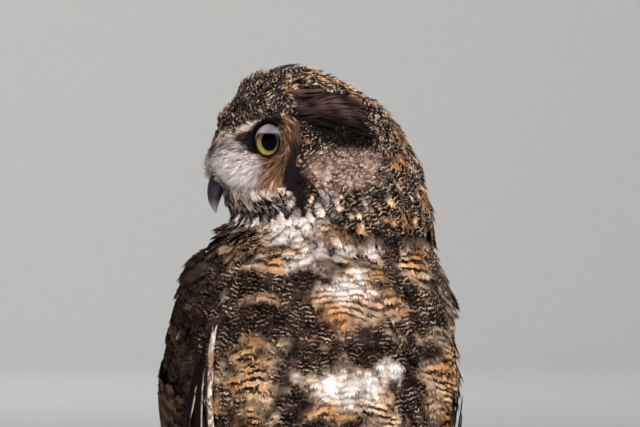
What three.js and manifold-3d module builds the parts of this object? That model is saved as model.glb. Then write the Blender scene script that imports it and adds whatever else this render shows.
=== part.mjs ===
// Great horned owl, life size, standing on a floor with its head turned over its right side.
// Millimetres, +Z up. The breast faces -Y and the bird's left side is +X.
// Every form is a loft of rings or a lathe, sized by the named values below, and the whole
// bird is then parted into its named pieces by thin cuts.
import * as THREE from 'three';
import { mergeVertices } from 'three/addons/utils/BufferGeometryUtils.js';
import Module from 'manifold-3d';

const wasm = await Module();
wasm.setup();

// ---------------------------------------------------------------- driving dimensions
const HEIGHT = 500; // floor to crown
const GAP = 0.4; // between neighbouring pieces
const HEAD_TURN = -90; // degrees about +Z from facing forwards
const HEAD_LEAN = 4; // how far the head sits towards the side it looks to
const IRIS_RADIUS = 11;
const EYE_AXIS = 35; // degrees that each eye looks away from straight ahead
const TAIL_LENGTH = 212;
const TAIL_SLOPE = 54; // degrees below the horizontal
const LEG_SPREAD = 43; // from the middle plane to each leg
const SIDES = { left: 1, right: -1 };

// ---------------------------------------------------------------- colours
const material = (color, roughness = 0.85) =>
  new THREE.MeshStandardMaterial({ color, roughness, metalness: 0 });
const MATERIALS = {
  headFeathers: material(0x4a382a),
  faceFeathers: material(0xa07a55),
  bodyFeathers: material(0x7a5c3e),
  wingFeathers: material(0x3d2e23),
  legFeathers: material(0xb8946a),
  tuft: material(0x2a1d17),
  bill: material(0x2b2d31, 0.4),
  claw: material(0x1c1b1d, 0.35),
  eye: material(0xb0a02c, 0.1),
};

// ---------------------------------------------------------------- shape tools
const V = (x, y, z) => new THREE.Vector3(x, y, z);
const rad = THREE.MathUtils.degToRad;
const lerp = THREE.MathUtils.lerp;
const falloff = (distance, reach) => Math.exp(-((distance / reach) ** 2));

// A smooth function through (position, value...) rows, as one interpolator for each value column.
function through(rows) {
  const slope = (a, b, k) => (b[k] - a[k]) / (b[0] - a[0]);
  return (x, k) => {
    const last = rows.length - 1;
    let i = rows.findIndex((row) => row[0] > x) - 1;
    if (i < 0) i = x < rows[0][0] ? 0 : last - 1;
    const [a, b] = [rows[i], rows[i + 1]];
    const width = b[0] - a[0];
    const mid = slope(a, b, k);
    const from = i > 0 ? (mid + slope(rows[i - 1], a, k)) / 2 : mid;
    const to = i + 1 < last ? (mid + slope(b, rows[i + 2], k)) / 2 : mid;
    const t = THREE.MathUtils.clamp((x - a[0]) / width, 0, 1);
    return (
      a[k] * (1 + 2 * t) * (1 - t) ** 2 +
      b[k] * t * t * (3 - 2 * t) +
      width * (from * t * (1 - t) ** 2 + to * t * t * (t - 1))
    );
  };
}

// A closed surface over rings of points, each end closed by a fan to the ring's middle.
function loft(rings) {
  const around = rings[0].length;
  const middle = (ring) => ring.reduce((sum, p) => sum.add(p), V(0, 0, 0)).divideScalar(around);
  const points = [...rings.flat(), middle(rings[0]), middle(rings[rings.length - 1])];
  const [first, last] = [points.length - 2, points.length - 1];
  const faces = [];
  for (let j = 0; j < around; j++) {
    const k = (j + 1) % around;
    for (let i = 0; i + 1 < rings.length; i++) {
      const [a, b, c, d] = [i * around + j, i * around + k, (i + 1) * around + j, (i + 1) * around + k];
      faces.push(a, b, c, b, d, c);
    }
    const top = (rings.length - 1) * around;
    faces.push(first, k, j, last, top + j, top + k);
  }
  const geometry = new THREE.BufferGeometry().setFromPoints(points);
  geometry.setIndex(faces);
  return geometry;
}

// A manifold solid from a three.js geometry, with its faces turned outwards.
function solid(geometry, matrix = new THREE.Matrix4()) {
  const bare = new THREE.BufferGeometry();
  bare.setAttribute('position', geometry.getAttribute('position').clone());
  if (geometry.index) bare.setIndex(geometry.index.clone());
  const merged = mergeVertices(bare.applyMatrix4(matrix), 1e-4);
  const vertProperties = new Float32Array(merged.getAttribute('position').array);
  const corners = [...merged.index.array];
  const make = (list) =>
    new wasm.Manifold(new wasm.Mesh({ numProp: 3, vertProperties, triVerts: new Uint32Array(list) }));
  const made = make(corners);
  if (made.volume() > 0) return made;
  for (let i = 0; i < corners.length; i += 3) {
    [corners[i + 1], corners[i + 2]] = [corners[i + 2], corners[i + 1]];
  }
  return make(corners);
}

// The largest single body of a solid, as a three.js geometry.
function geometryOf(made) {
  const whole = made.decompose().reduce((best, body) => (body.volume() > best.volume() ? body : best));
  const mesh = whole.getMesh();
  const positions = new Float32Array(mesh.numVert * 3);
  for (let i = 0; i < mesh.numVert; i++) {
    positions.set(mesh.vertProperties.subarray(i * mesh.numProp, i * mesh.numProp + 3), i * 3);
  }
  const geometry = new THREE.BufferGeometry();
  geometry.setAttribute('position', new THREE.BufferAttribute(positions, 3));
  geometry.setIndex(new THREE.BufferAttribute(mesh.triVerts, 1));
  return geometry;
}

const BIG = 900; // larger than the bird
// Everything on the upper side of a plane through a point, tipped by degrees about X and Y.
function halfSpace(point, tipX = 0, tipY = 0) {
  const turn = new THREE.Matrix4().makeRotationFromEuler(new THREE.Euler(rad(tipX), rad(tipY), 0));
  const place = new THREE.Matrix4().makeTranslation(point.x, point.y, point.z);
  const lift = new THREE.Matrix4().makeTranslation(0, 0, BIG / 2);
  return solid(new THREE.BoxGeometry(BIG, BIG, BIG), place.multiply(turn).multiply(lift));
}

// A tapering limb along a curve: size(t) gives its half-width and half-height at share t.
function limb(curve, size, steps, around, up = V(0, 0, 1)) {
  const rings = [];
  for (let i = 0; i <= steps; i++) {
    const t = i / steps;
    const centre = curve.getPoint(t);
    const along = curve.getTangent(t);
    const side = new THREE.Vector3().crossVectors(along, up).normalize();
    const over = new THREE.Vector3().crossVectors(side, along);
    const [wide, high] = size(t);
    rings.push(
      Array.from({ length: around }, (_, j) => {
        const a = (2 * Math.PI * j) / around;
        const across = side.clone().multiplyScalar(wide * Math.cos(a));
        return centre.clone().add(across).addScaledVector(over, high * Math.sin(a));
      }),
    );
  }
  return loft(rings);
}
// Rounds a limb's ends: 1 along its length, falling to a small value over the given shares.
function rounded(t, start, end) {
  const opening = 1 - Math.max(0, 1 - t / start) ** 2;
  const closing = 1 - Math.max(0, 1 - (1 - t) / end) ** 2;
  return Math.sqrt(Math.max(0.004, Math.min(opening, closing)));
}

// ---------------------------------------------------------------- trunk
// Height, half-width, reach to the front, reach to the back.
const TRUNK = through([
  [116, 8, -28, 44],
  [125, 36, 4, 74],
  [140, 60, 34, 91],
  [160, 80, 56, 97],
  [190, 96, 76, 95],
  [228, 105, 90, 89],
  [270, 107, 94, 82],
  [300, 105, 91, 78],
  [324, 101, 86, 74],
  [345, 96, 79, 70],
  [366, 87, 68, 64],
  [384, 71, 55, 54],
  [398, 48, 38, 40],
]);
const TRUNK_FOOT = 116;
const TRUNK_TOP = 398;

function trunkRing(z, around, grow = 0) {
  const [wide, front, back] = [1, 2, 3].map((k) => TRUNK(z, k) + grow);
  return Array.from({ length: around }, (_, j) => {
    const a = (2 * Math.PI * j) / around;
    return V(wide * Math.cos(a), (back - front) / 2 + ((front + back) / 2) * Math.sin(a), z);
  });
}

function trunkSolid(grow = 0) {
  const [steps, around] = [14, 24];
  const rings = Array.from({ length: steps + 1 }, (_, i) => {
    const level = (1 - Math.cos((Math.PI * i) / steps)) / 2; // closer rings at both ends
    return trunkRing(lerp(TRUNK_FOOT - grow, TRUNK_TOP, level), around, grow);
  });
  return solid(loft(rings));
}

// ---------------------------------------------------------------- head and neck
// Height, reach to the face, reach to the nape, half-width, in the head's own frame.
const HEAD = through([
  [356, 54, 83, 72],
  [368, 60, 91, 79],
  [387, 62, 93, 79],
  [400, 66, 91, 77],
  [414, 71, 87, 74],
  [430, 74, 80, 71],
  [445, 72, 72, 68],
  [460, 66, 62, 63],
  [475, 58, 44, 52],
  [488, 47, 22, 37],
  [496, 37, 2, 23],
  [500, 22, -18, 3],
]);
const HOOD_FOOT = 356;
const EYE_PLACE = V(39, -45, 442); // middle of the left iris
const DISC_RADIUS = 28;
const DISC_DROP = 7; // the disc's middle below the eye
const DISC_DEPTH = 12;
const eyeAxis = V(Math.sin(rad(EYE_AXIS)), -Math.cos(rad(EYE_AXIS)), 0);
const BRISTLES = V(9, -70, 424); // the puffed lores beside the bill
const BROW_INNER = V(8, -70, 458);
const BROW_OUTER = V(48, -34, 474);

// How far a point of the plain head is pushed along the eye's axis by the disc, its rim and the brow.
function faceRelief(point) {
  const p = V(Math.abs(point.x), point.y, point.z);
  const fromDisc = p.distanceTo(EYE_PLACE.clone().addScaledVector(eyeAxis, 9).add(V(0, 0, -DISC_DROP / 2)));
  const hollow = -DISC_DEPTH * falloff(fromDisc, DISC_RADIUS * 0.68);
  const rim = 4 * falloff(fromDisc - DISC_RADIUS - 3, 6);
  const brow = new THREE.Line3(BROW_INNER, BROW_OUTER);
  const fromBrow = p.distanceTo(brow.closestPointToPoint(p, true, V(0, 0, 0)));
  const ridge = 5 * falloff(fromBrow, 8);
  return hollow + rim + ridge;
}

function headPoint(z, angle) {
  const [face, nape, wide] = [1, 2, 3].map((k) => HEAD(z, k));
  const p = V(wide * Math.cos(angle), (nape - face) / 2 + ((nape + face) / 2) * Math.sin(angle), z);
  const push = faceRelief(p) * (p.y < 20 ? 1 : 0);
  const outward = V(eyeAxis.x * Math.sign(p.x) * Math.min(1, Math.abs(p.x) / 12), eyeAxis.y, 0);
  const tuck = 9 * falloff(p.distanceTo(V(Math.sign(p.x) * BRISTLES.x, BRISTLES.y, BRISTLES.z)), 13);
  return p.addScaledVector(outward, push).add(V(0, -tuck, 0));
}

// The head's own frame turned over the body.
const headFrame = new THREE.Matrix4().makeTranslation(-HEAD_LEAN, 0, 0);
headFrame.multiply(new THREE.Matrix4().makeRotationZ(rad(HEAD_TURN)));

function headSolid() {
  const [steps, around] = [20, 34];
  const rings = Array.from({ length: steps + 1 }, (_, i) => {
    const z = lerp(HOOD_FOOT, HEIGHT, Math.sin((Math.PI / 2) * (i / steps)) ** 0.9);
    return Array.from({ length: around }, (_, j) => {
      const share = j / around;
      const bend = 0.045 * Math.sin(4 * Math.PI * share); // closer columns over the face and nape
      return headPoint(z, 2 * Math.PI * (share + bend));
    });
  });
  return solid(loft(rings), headFrame);
}

// ---------------------------------------------------------------- eyes and bill
const EYE_BACK = 12; // from the iris back to the eyeball's middle
const SOCKET_RADIUS = 12.5;
function eyeGeometry(grow = 0) {
  const ball = IRIS_RADIUS + 3.5 + grow;
  const profile = [];
  const steps = 5;
  for (let i = 0; i <= steps; i++) {
    const a = lerp(-Math.PI / 2, 0.62, i / steps);
    profile.push(new THREE.Vector2(ball * Math.cos(a), ball * Math.sin(a)));
  }
  const edge = profile[profile.length - 1];
  const bulge = 3;
  for (let i = 1; i <= bulge; i++) {
    const a = (Math.PI / 2) * (i / bulge); // the clear cornea bulges beyond the ball
    profile.push(new THREE.Vector2(edge.x * Math.cos(a), edge.y + 7.5 * Math.sin(a)));
  }
  profile[0].x = 0;
  profile[profile.length - 1].x = 0;
  return new THREE.LatheGeometry(profile, 12);
}

function eyeMatrix(side) {
  const axis = V(eyeAxis.x * side, eyeAxis.y, eyeAxis.z);
  const turn = new THREE.Quaternion().setFromUnitVectors(V(0, 1, 0), axis);
  const place = V(EYE_PLACE.x * side, EYE_PLACE.y, EYE_PLACE.z).addScaledVector(axis, -EYE_BACK);
  return headFrame.clone().multiply(new THREE.Matrix4().compose(place, turn, V(1, 1, 1)));
}

// A short cylinder about the eye's axis, from behind the iris to in front of the face.
function eyeCylinder(side, radius, deep, drop = 0) {
  const proud = 30;
  const cylinder = new THREE.CylinderGeometry(radius, radius, deep + proud, 20);
  cylinder.translate(0, (proud - deep) / 2 + EYE_BACK, 0);
  return solid(cylinder, new THREE.Matrix4().makeTranslation(0, 0, -drop).multiply(eyeMatrix(side)));
}
const DISC_THICK = 16;
const discSolid = (side, grow = 0) => eyeCylinder(side, DISC_RADIUS + grow, DISC_THICK + grow, DISC_DROP);
const socketSolid = (side) => eyeCylinder(side, SOCKET_RADIUS, 2);

// The hooked upper mandible, from its root under the bristles to the tip.
function billUpper(grow = 0) {
  const points = [V(0, -54, 426), V(0, -68, 420), V(0, -74.5, 408), V(0, -76, 397), V(0, -74.5, 389)];
  const culmen = new THREE.CatmullRomCurve3(points);
  const size = (t) => {
    const taper = Math.max(0.06, 1 - t ** 2.2);
    return [8.5 * taper + grow, 8.2 * Math.max(0.07, 1 - t ** 2.6) + grow];
  };
  return solid(limb(culmen, size, 9, 10, V(0, -1, 1).normalize()), headFrame);
}

function billLower(grow = 0) {
  const line = new THREE.CatmullRomCurve3([V(0, -50, 412), V(0, -60, 406), V(0, -65.5, 399), V(0, -67, 393)]);
  const size = (t) => [6.4 * rounded(t, 0.2, 0.9) + grow, 3.6 * rounded(t, 0.2, 0.8) + grow];
  return solid(limb(line, size, 5, 8, V(0, -1, 1).normalize()), headFrame);
}

// ---------------------------------------------------------------- ear tufts
// A flat tuft lying back over the side of the crown: root, middle and tip in the head's frame.
const TUFT = {
  left: [V(44, -32, 475), V(55, 4, 471), V(47, 46, 453)],
  right: [V(-43, -32, 475), V(-40, -18, 491), V(-38, 6, 501)],
};
function tuftSolid(name, grow = 0) {
  const curve = new THREE.CatmullRomCurve3(TUFT[name]);
  const size = (t) => {
    const shape = rounded(t, 0.35, 0.8);
    const wide = name === 'left' ? 15 : 9; // the far tuft is drawn together as it rises
    return [wide * shape + grow, 4.6 * shape + grow];
  };
  const outwards = V(0.62 * SIDES[name], 0, 0.78);
  return solid(limb(curve, size, 8, 8, outwards), headFrame);
}

// ---------------------------------------------------------------- wings
// Share along the folded wing, then its axis in the side view (y, z), half-breadth,
// outward place of the middle, and how far the front and the back edge wrap inwards.
const WING = through([
  [0.0, -4, 360, 16, 91, 3, 6],
  [0.08, 4, 344, 44, 102, 13, 30],
  [0.2, 14, 312, 66, 110, 26, 66],
  [0.35, 34, 268, 74, 112, 28, 80],
  [0.5, 62, 222, 68, 105, 26, 76],
  [0.65, 94, 176, 54, 83, 20, 54],
  [0.8, 130, 131, 40, 55, 12, 30],
  [0.92, 160, 94, 27, 33, 6, 14],
  [1.0, 184, 66, 9, 20, 1, 2],
]);
const WING_THICK = [34, 7]; // inwards from the outer face, at the shoulder and the tip
const WRIST_CUT = 0.56; // share along the wing where the flight feathers leave the arm

function wingPoint(t, across, depth, side) {
  const [y, z, half, out, wrapFront, wrapBack] = [1, 2, 3, 4, 5, 6].map((k) => WING(t, k));
  const dy = WING(Math.min(1, t + 0.02), 1) - WING(Math.max(0, t - 0.02), 1);
  const dz = WING(Math.min(1, t + 0.02), 2) - WING(Math.max(0, t - 0.02), 2);
  const length = Math.hypot(dy, dz);
  const wrap = (across < 0 ? wrapFront : wrapBack) * across * across;
  return V(
    side * (out - wrap - depth),
    y + (across * half * -dz) / length,
    z + (across * half * dy) / length,
  );
}

function wingSolid(side, grow = 0) {
  const [steps, columns] = [14, 8];
  const rings = Array.from({ length: steps + 1 }, (_, i) => {
    const t = (1 - Math.cos((Math.PI * i) / steps)) / 2;
    const thick = lerp(WING_THICK[0], WING_THICK[1], Math.min(1, t * 1.25));
    const edge = (c) => thick * 0.5 * (1 - Math.sqrt(1 - c ** 2 * 0.98));
    const at = (j) => -1 + (2 * j) / (columns - 1);
    const outer = Array.from({ length: columns }, (_, j) => wingPoint(t, at(j), edge(at(j)) - grow, side));
    const inner = Array.from({ length: columns }, (_, j) =>
      wingPoint(t, -at(j), thick - edge(at(j)) + grow, side),
    );
    return [...outer, ...inner];
  });
  return solid(loft(rings));
}

// ---------------------------------------------------------------- tail
const TAIL_ROOT = V(0, 74, 176);
const TAIL_FEATHERS = 12;
// One tail feather as a thin rounded blade along +Y, then fanned and stacked.
function tailBlade(length, halfWidth, thick) {
  const steps = 3;
  const rings = Array.from({ length: steps + 1 }, (_, i) => {
    const t = Math.sin((Math.PI / 2) * (i / steps));
    const wide = halfWidth * (0.45 + 0.55 * Math.min(1, t * 1.6)) * rounded(t, 0.02, 0.16);
    const sag = -5 * t * t;
    const at = (x, lift) => V(x, t * length, sag + lift);
    return [at(-wide, 0), at(0, thick), at(wide, 0), at(0, -thick)];
  });
  return loft(rings);
}

function tailSolid(grow = 0) {
  const slope = new THREE.Matrix4().makeTranslation(TAIL_ROOT.x, TAIL_ROOT.y, TAIL_ROOT.z);
  slope.multiply(new THREE.Matrix4().makeRotationX(-rad(TAIL_SLOPE)));
  const core = new THREE.LineCurve3(V(0, -6, 0), V(0, 96, -2));
  const size = (t) => [lerp(34, 21, t) * rounded(t, 0.2, 0.5) + grow, 12 * rounded(t, 0.2, 0.8) + grow];
  let made = solid(limb(core, size, 5, 8), slope);
  for (let i = 0; i < TAIL_FEATHERS; i++) {
    const rank = i - (TAIL_FEATHERS - 1) / 2; // outermost feathers first and last
    const outer = Math.abs(rank);
    const fan = new THREE.Matrix4().makeRotationZ(rad(-0.75 * rank));
    const place = new THREE.Matrix4().makeTranslation(2.2 * rank, 0, 3 - 1.15 * outer);
    const blade = tailBlade(TAIL_LENGTH - 1.9 * outer + grow, 17 + grow, 1.7 + grow);
    made = made.add(solid(blade, slope.clone().multiply(place).multiply(fan)));
  }
  return made;
}

// ---------------------------------------------------------------- legs and feet
const KNEE = V(LEG_SPREAD + 2, 8, 168);
const ANKLE = V(LEG_SPREAD, 40, 82);
const FOOT = V(LEG_SPREAD + 2, 14, 17);
// Toe name, heading in degrees from straight ahead and outwards, length, and claw length.
const TOES = [
  ['inner', -14, 42, 31],
  ['middle', 14, 47, 29],
  ['outer', 78, 38, 25],
  ['hind', 172, 30, 29],
];
const ANKLE_RADIUS = 16.5;
const FOOT_RADIUS = 15;
const TOE_RADIUS = 9.2;
const TOE_SIDES = 6;
const TOE_UNDER = TOE_RADIUS * Math.cos(Math.PI / TOE_SIDES); // from a toe's middle to its flat underside
const PAD_DEPTH = 0.9; // how far the pads reach below the floor before they are cut flat

const mirrored = (side) => new THREE.Matrix4().makeScale(side, 1, 1);

function thighSolid(side, grow = 0) {
  const heel = ANKLE.clone().add(V(0, -2, -8));
  const curve = new THREE.CatmullRomCurve3([KNEE, V(LEG_SPREAD + 1, 22, 128), heel]);
  const size = (t) => [40, 46].map((wide) => lerp(wide, ANKLE_RADIUS + 2.5, t ** 0.9) + grow);
  return solid(limb(curve, size, 7, 12, V(0, -1, 0)), mirrored(side));
}

function tarsusSolid(side) {
  const curve = new THREE.CatmullRomCurve3([ANKLE, ANKLE.clone().lerp(FOOT, 0.5).add(V(0, 1, 0)), FOOT]);
  const size = (t) => [0, 1].map((deeper) => lerp(ANKLE_RADIUS + deeper, FOOT_RADIUS - 1, t));
  return solid(limb(curve, size, 5, 12, V(0, -1, 0)), mirrored(side));
}

function toeCurve(heading, length) {
  const out = V(Math.sin(rad(heading)), -Math.cos(rad(heading)), 0);
  const reach = (share, z) => V(FOOT.x, FOOT.y, z).addScaledVector(out, length * share);
  const low = TOE_UNDER - PAD_DEPTH;
  const [arch, ball, tip] = [reach(0.4, low + 3), reach(0.75, low), reach(1, low - 1.4)];
  return new THREE.CatmullRomCurve3([reach(0, 14), arch, ball, tip]);
}

function footSolid(side, grow = 0) {
  const ball = new THREE.SphereGeometry(FOOT_RADIUS + grow, 8, 5);
  let made = solid(ball, new THREE.Matrix4().makeTranslation(FOOT.x, FOOT.y, 12));
  for (const [, heading, length] of TOES) {
    const size = (t) => {
      const radius = TOE_RADIUS + 0.5 * Math.cos(t * 5 * Math.PI) - 1.6 * t + grow;
      return [1, 1].map((share) => share * radius * rounded(t, 0.01, 0.22));
    };
    made = made.add(solid(limb(toeCurve(heading, length), size, 5, TOE_SIDES)));
  }
  return made.transform(mirrored(side).elements).intersect(halfSpace(V(0, 0, 0)));
}

function clawSolid(side, heading, length, claw, grow = 0) {
  const out = V(Math.sin(rad(heading)), -Math.cos(rad(heading)), 0);
  const root = V(FOOT.x, FOOT.y, 0).addScaledVector(out, length - 5);
  const at = (share, z) => root.clone().addScaledVector(out, claw * share).add(V(0, 0, z));
  const points = [at(0, 9), at(0.3, 10.5), at(0.62, 8.6), at(0.82, 4.6), at(0.88, 1)];
  const curve = new THREE.CatmullRomCurve3(points);
  const size = (t) => [lerp(3.6, 0.35, t ** 1.1) + grow, lerp(4.2, 0.4, t ** 1.1) + grow];
  return solid(limb(curve, size, 5, 5), mirrored(side));
}

// ---------------------------------------------------------------- parting into named pieces
const owl = new THREE.Group();
function add(name, made, finish) {
  const mesh = new THREE.Mesh(geometryOf(made), finish);
  mesh.name = name;
  owl.add(mesh);
}

const trunk = trunkSolid();
const hood = headSolid();
const NECK_TIP = 14; // degrees: the head's edge falls from the nape to the chin
const HEAD_EDGE = V(0, 0, 404);
const HOOD_EDGE = V(0, 0, 368);
const aboveNeck = halfSpace(HEAD_EDGE, 0, -NECK_TIP);
const belowHead = halfSpace(HEAD_EDGE.clone().add(V(0, 0, -GAP)), 0, 180 - NECK_TIP);
const aboveBody = halfSpace(HOOD_EDGE);
const belowHood = halfSpace(HOOD_EDGE.clone().add(V(0, 0, -GAP)), 180);

let head = hood.intersect(aboveNeck).subtract(billUpper(GAP)).subtract(billLower(GAP));
for (const [name, side] of Object.entries(SIDES)) {
  head = head.subtract(solid(eyeGeometry(GAP), eyeMatrix(side))).subtract(socketSolid(side));
  head = head.subtract(tuftSolid(name, GAP));
  add(`facial_disc_${name}`, head.intersect(discSolid(side)), MATERIALS.faceFeathers);
  head = head.subtract(discSolid(side, GAP));
}
add('head', head, MATERIALS.headFeathers);
add('neck', hood.add(trunk).intersect(belowHead).intersect(aboveBody), MATERIALS.headFeathers);
add('trunk', hood.add(trunk).intersect(belowHood), MATERIALS.bodyFeathers);
add('bill_upper', billUpper(), MATERIALS.bill);
add('bill_lower', billLower().subtract(billUpper(GAP)), MATERIALS.bill);

const bodyRoom = hood.add(trunkSolid(GAP)).intersect(belowHood).add(hood.intersect(aboveBody));
const tail = tailSolid().subtract(bodyRoom).intersect(halfSpace(V(0, 0, 0)));
add('tail', tail, MATERIALS.wingFeathers);

for (const [name, side] of Object.entries(SIDES)) {
  add(`eye_${name}`, solid(eyeGeometry(), eyeMatrix(side)), MATERIALS.eye);
  add(`ear_tuft_${name}`, tuftSolid(name), MATERIALS.tuft);

  const wing = wingSolid(side).subtract(bodyRoom);
  const cutPoint = wingPoint(WRIST_CUT, 0, 0, side);
  const wingSlope = 34; // degrees that the cut tips with the folded wing
  const upper = halfSpace(cutPoint, wingSlope);
  const lower = halfSpace(cutPoint.clone().add(V(0, 0, -GAP / Math.cos(rad(wingSlope)))), wingSlope + 180);
  add(`wing_${name}`, wing.intersect(upper), MATERIALS.wingFeathers);
  add(`wing_tip_${name}`, wing.intersect(lower).subtract(tailSolid(GAP)), MATERIALS.wingFeathers);

  const foot = footSolid(side);
  const thigh = thighSolid(side).subtract(bodyRoom);
  add(`thigh_${name}`, thigh, MATERIALS.legFeathers);
  const tarsus = tarsusSolid(side).subtract(thighSolid(side, GAP)).subtract(footSolid(side, GAP));
  add(`tarsus_${name}`, tarsus, MATERIALS.legFeathers);
  let toes = foot;
  for (const [toe, heading, length, claw] of TOES) {
    const made = clawSolid(side, heading, length, claw);
    toes = toes.subtract(clawSolid(side, heading, length, claw, GAP));
    add(`claw_${name}_${toe}`, made, MATERIALS.claw);
  }
  add(`foot_${name}`, toes, MATERIALS.legFeathers);
}

// The origin is at the middle of the bird's box, on the floor.
const box = new THREE.Box3().setFromObject(owl);
const centre = box.getCenter(V(0, 0, 0));
owl.position.set(-centre.x, -centre.y, -box.min.z);

export default owl;
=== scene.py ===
"""The looks of a standing great horned owl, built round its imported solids.

One smooth skin replaces the solids of flesh and lies inside them by the coat's depth. Feathers are
solid mesh: soft leaves and lax wisps laid along the skin like shingles, and closed blades for the
flight and tail feathers. Metres; the breast faces -Y, the face -X, and the left side is +X.
"""

import math

import bpy
import numpy as np
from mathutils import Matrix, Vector
from mathutils.bvhtree import BVHTree


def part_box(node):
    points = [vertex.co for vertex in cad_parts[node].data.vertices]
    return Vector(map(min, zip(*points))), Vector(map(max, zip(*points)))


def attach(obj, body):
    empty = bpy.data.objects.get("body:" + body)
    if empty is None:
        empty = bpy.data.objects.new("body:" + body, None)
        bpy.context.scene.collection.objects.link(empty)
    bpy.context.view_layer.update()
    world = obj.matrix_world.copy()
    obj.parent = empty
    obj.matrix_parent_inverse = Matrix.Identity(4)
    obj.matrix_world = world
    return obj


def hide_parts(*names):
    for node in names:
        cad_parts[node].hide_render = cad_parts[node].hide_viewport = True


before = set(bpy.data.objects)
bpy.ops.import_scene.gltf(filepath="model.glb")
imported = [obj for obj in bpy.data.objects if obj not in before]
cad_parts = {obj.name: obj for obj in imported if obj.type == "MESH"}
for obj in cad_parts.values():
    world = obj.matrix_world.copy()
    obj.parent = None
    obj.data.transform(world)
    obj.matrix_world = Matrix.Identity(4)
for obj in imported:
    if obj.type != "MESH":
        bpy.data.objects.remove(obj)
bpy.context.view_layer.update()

MM = 0.001
SIDES = {"left": 1, "right": -1}
TOES = ("inner", "middle", "outer", "hind")
FLESH = [
    "head", "facial_disc_left", "facial_disc_right", "neck", "trunk",
    "wing_left", "wing_right", "thigh_left", "thigh_right",
    "tarsus_left", "tarsus_right", "foot_left", "foot_right",
]


# ---------------------------------------------------------------- small tools
def unit(vectors):
    """The same directions with a length of 1."""
    length = np.linalg.norm(vectors, axis=-1, keepdims=True)
    return vectors / np.maximum(length, 1e-9)


def step(value, low, high):
    """0 below low, 1 above high, and a smooth rise between them."""
    t = within((value - low) / (high - low))
    return t * t * (3 - 2 * t)


def hump(*distances):
    """1 where every distance is 0, falling off smoothly over a distance of 1."""
    return np.exp(-sum(np.square(d) for d in distances))


def tint(a, b, share):
    """Blends two colours or places, with one share for each of them."""
    return a + (b - a) * np.asarray(share)[..., None]


def cloud(points, size, seed):
    """Smooth noise, mostly within -1 to 1, in patches about size mm across."""
    waves = 12
    rng = np.random.default_rng(seed)
    along = unit(rng.normal(size=(waves, 3))) * math.pi / (size * MM) * rng.uniform(0.6, 1.5, (waves, 1))
    phase = rng.uniform(0, 2 * math.pi, waves)
    return np.sin(points @ along.T + phase).sum(-1) * math.sqrt(2 / waves) / 1.5


def between(a, b, share):
    """A number at a share of the way from a to b."""
    return a + (b - a) * share


def within(value, most=1):
    """The value, kept from 0 to most."""
    return np.clip(value, 0, most)


def rgb(red, green, blue):
    """A colour given as 0 to 255 on a screen, as linear light."""
    share = np.array([red, green, blue]) / 255
    return np.where(share <= 0.04045, share / 12.92, ((share + 0.055) / 1.055) ** 2.4)


def node_points(name):
    """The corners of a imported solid."""
    return np.array([v.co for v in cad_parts[name].data.vertices])


def node_faces(name):
    """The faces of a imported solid, by the numbers of their corners."""
    return [tuple(p.vertices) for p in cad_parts[name].data.polygons]


def middle(name):
    """The middle of a solid's box."""
    low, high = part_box(name)
    return np.array((low + high) / 2)


def farthest(name, direction):
    """The corner of a solid that lies farthest along a direction."""
    points = node_points(name)
    return points[np.argmax(points @ np.array(direction, float))]


def new_mesh(name, points, faces):
    """A smooth-shaded mesh object from arrays: faces is an (n, 3) or (n, 4) array."""
    mesh = bpy.data.meshes.new(name)
    points = np.asarray(points, np.float32)
    faces = np.asarray(faces, np.int32)
    corners = faces.shape[1]
    mesh.vertices.add(len(points))
    mesh.vertices.foreach_set("co", points.ravel())
    mesh.loops.add(faces.size)
    mesh.loops.foreach_set("vertex_index", faces.ravel())
    mesh.polygons.add(len(faces))
    mesh.polygons.foreach_set("loop_start", np.arange(0, faces.size, corners, dtype=np.int32))
    mesh.polygons.foreach_set("use_smooth", np.ones(len(faces), bool))
    mesh.update(calc_edges=True)
    made = bpy.data.objects.new(name, mesh)
    bpy.context.scene.collection.objects.link(made)
    return made


def ring_faces(rows, around):
    """Faces that join each ring of points to the next one."""
    ring = np.arange(around)
    after = (ring + 1) % around
    first = np.stack([ring, after, around + after, around + ring], 1)
    return np.concatenate([first + i * around for i in range(rows - 1)])


def set_points(obj, name, values):
    """A vector (3 numbers) or colour (4 numbers) on every vertex."""
    kind, key = {3: ("FLOAT_VECTOR", "vector"), 4: ("FLOAT_COLOR", "color")}[values.shape[1]]
    layer = obj.data.attributes.new(name, kind, "POINT")
    layer.data.foreach_set(key, np.asarray(values, np.float32).ravel())


def set_bake_map(obj, uv):
    """The bake map, named OFBake, from one (u, v) for every vertex."""
    layer = obj.data.uv_layers.new(name="OFBake")
    corners = np.empty(len(obj.data.loops), np.int32)
    obj.data.loops.foreach_get("vertex_index", corners)
    layer.data.foreach_set("uv", np.asarray(uv, np.float32)[corners].ravel())


def settle(obj):
    """Replaces an object's mesh by what its modifiers make of it."""
    shown = obj.evaluated_get(bpy.context.evaluated_depsgraph_get())
    mesh = bpy.data.meshes.new_from_object(shown)
    obj.modifiers.clear()
    obj.data = mesh
    return obj


def own(piece, material, slot, *nodes):
    """Gives a piece its material, puts it on the body and lets it stand for solids."""
    piece.data.materials.clear()
    piece.data.materials.append(material)
    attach(piece, "root")
    if nodes:
        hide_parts(*nodes)
    return piece


# ---------------------------------------------------------------- places, from the frame
EYE_AXIS = math.radians(40)  # each eye looks this far away from straight ahead
TRUNK_LOW = np.array(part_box("trunk")[0])
TRUNK_MIDDLE = (TRUNK_LOW + np.array(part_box("trunk")[1])) / 2
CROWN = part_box("head")[1].z
FACE_MIDDLE = middle("bill_upper")[1]  # the head is alike on both sides of this Y
BILL_ROOT = farthest("bill_upper", (0, 0, 1)) * [1, 0, 1] + [0, FACE_MIDDLE, 0]
BILL_TIP = farthest("bill_upper", (-0.2, 0, -1))
EYE_SHIFT = np.array([-3.2, 0, -0.4]) * MM
UP = np.array([0, 0, 1.0])


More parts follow.
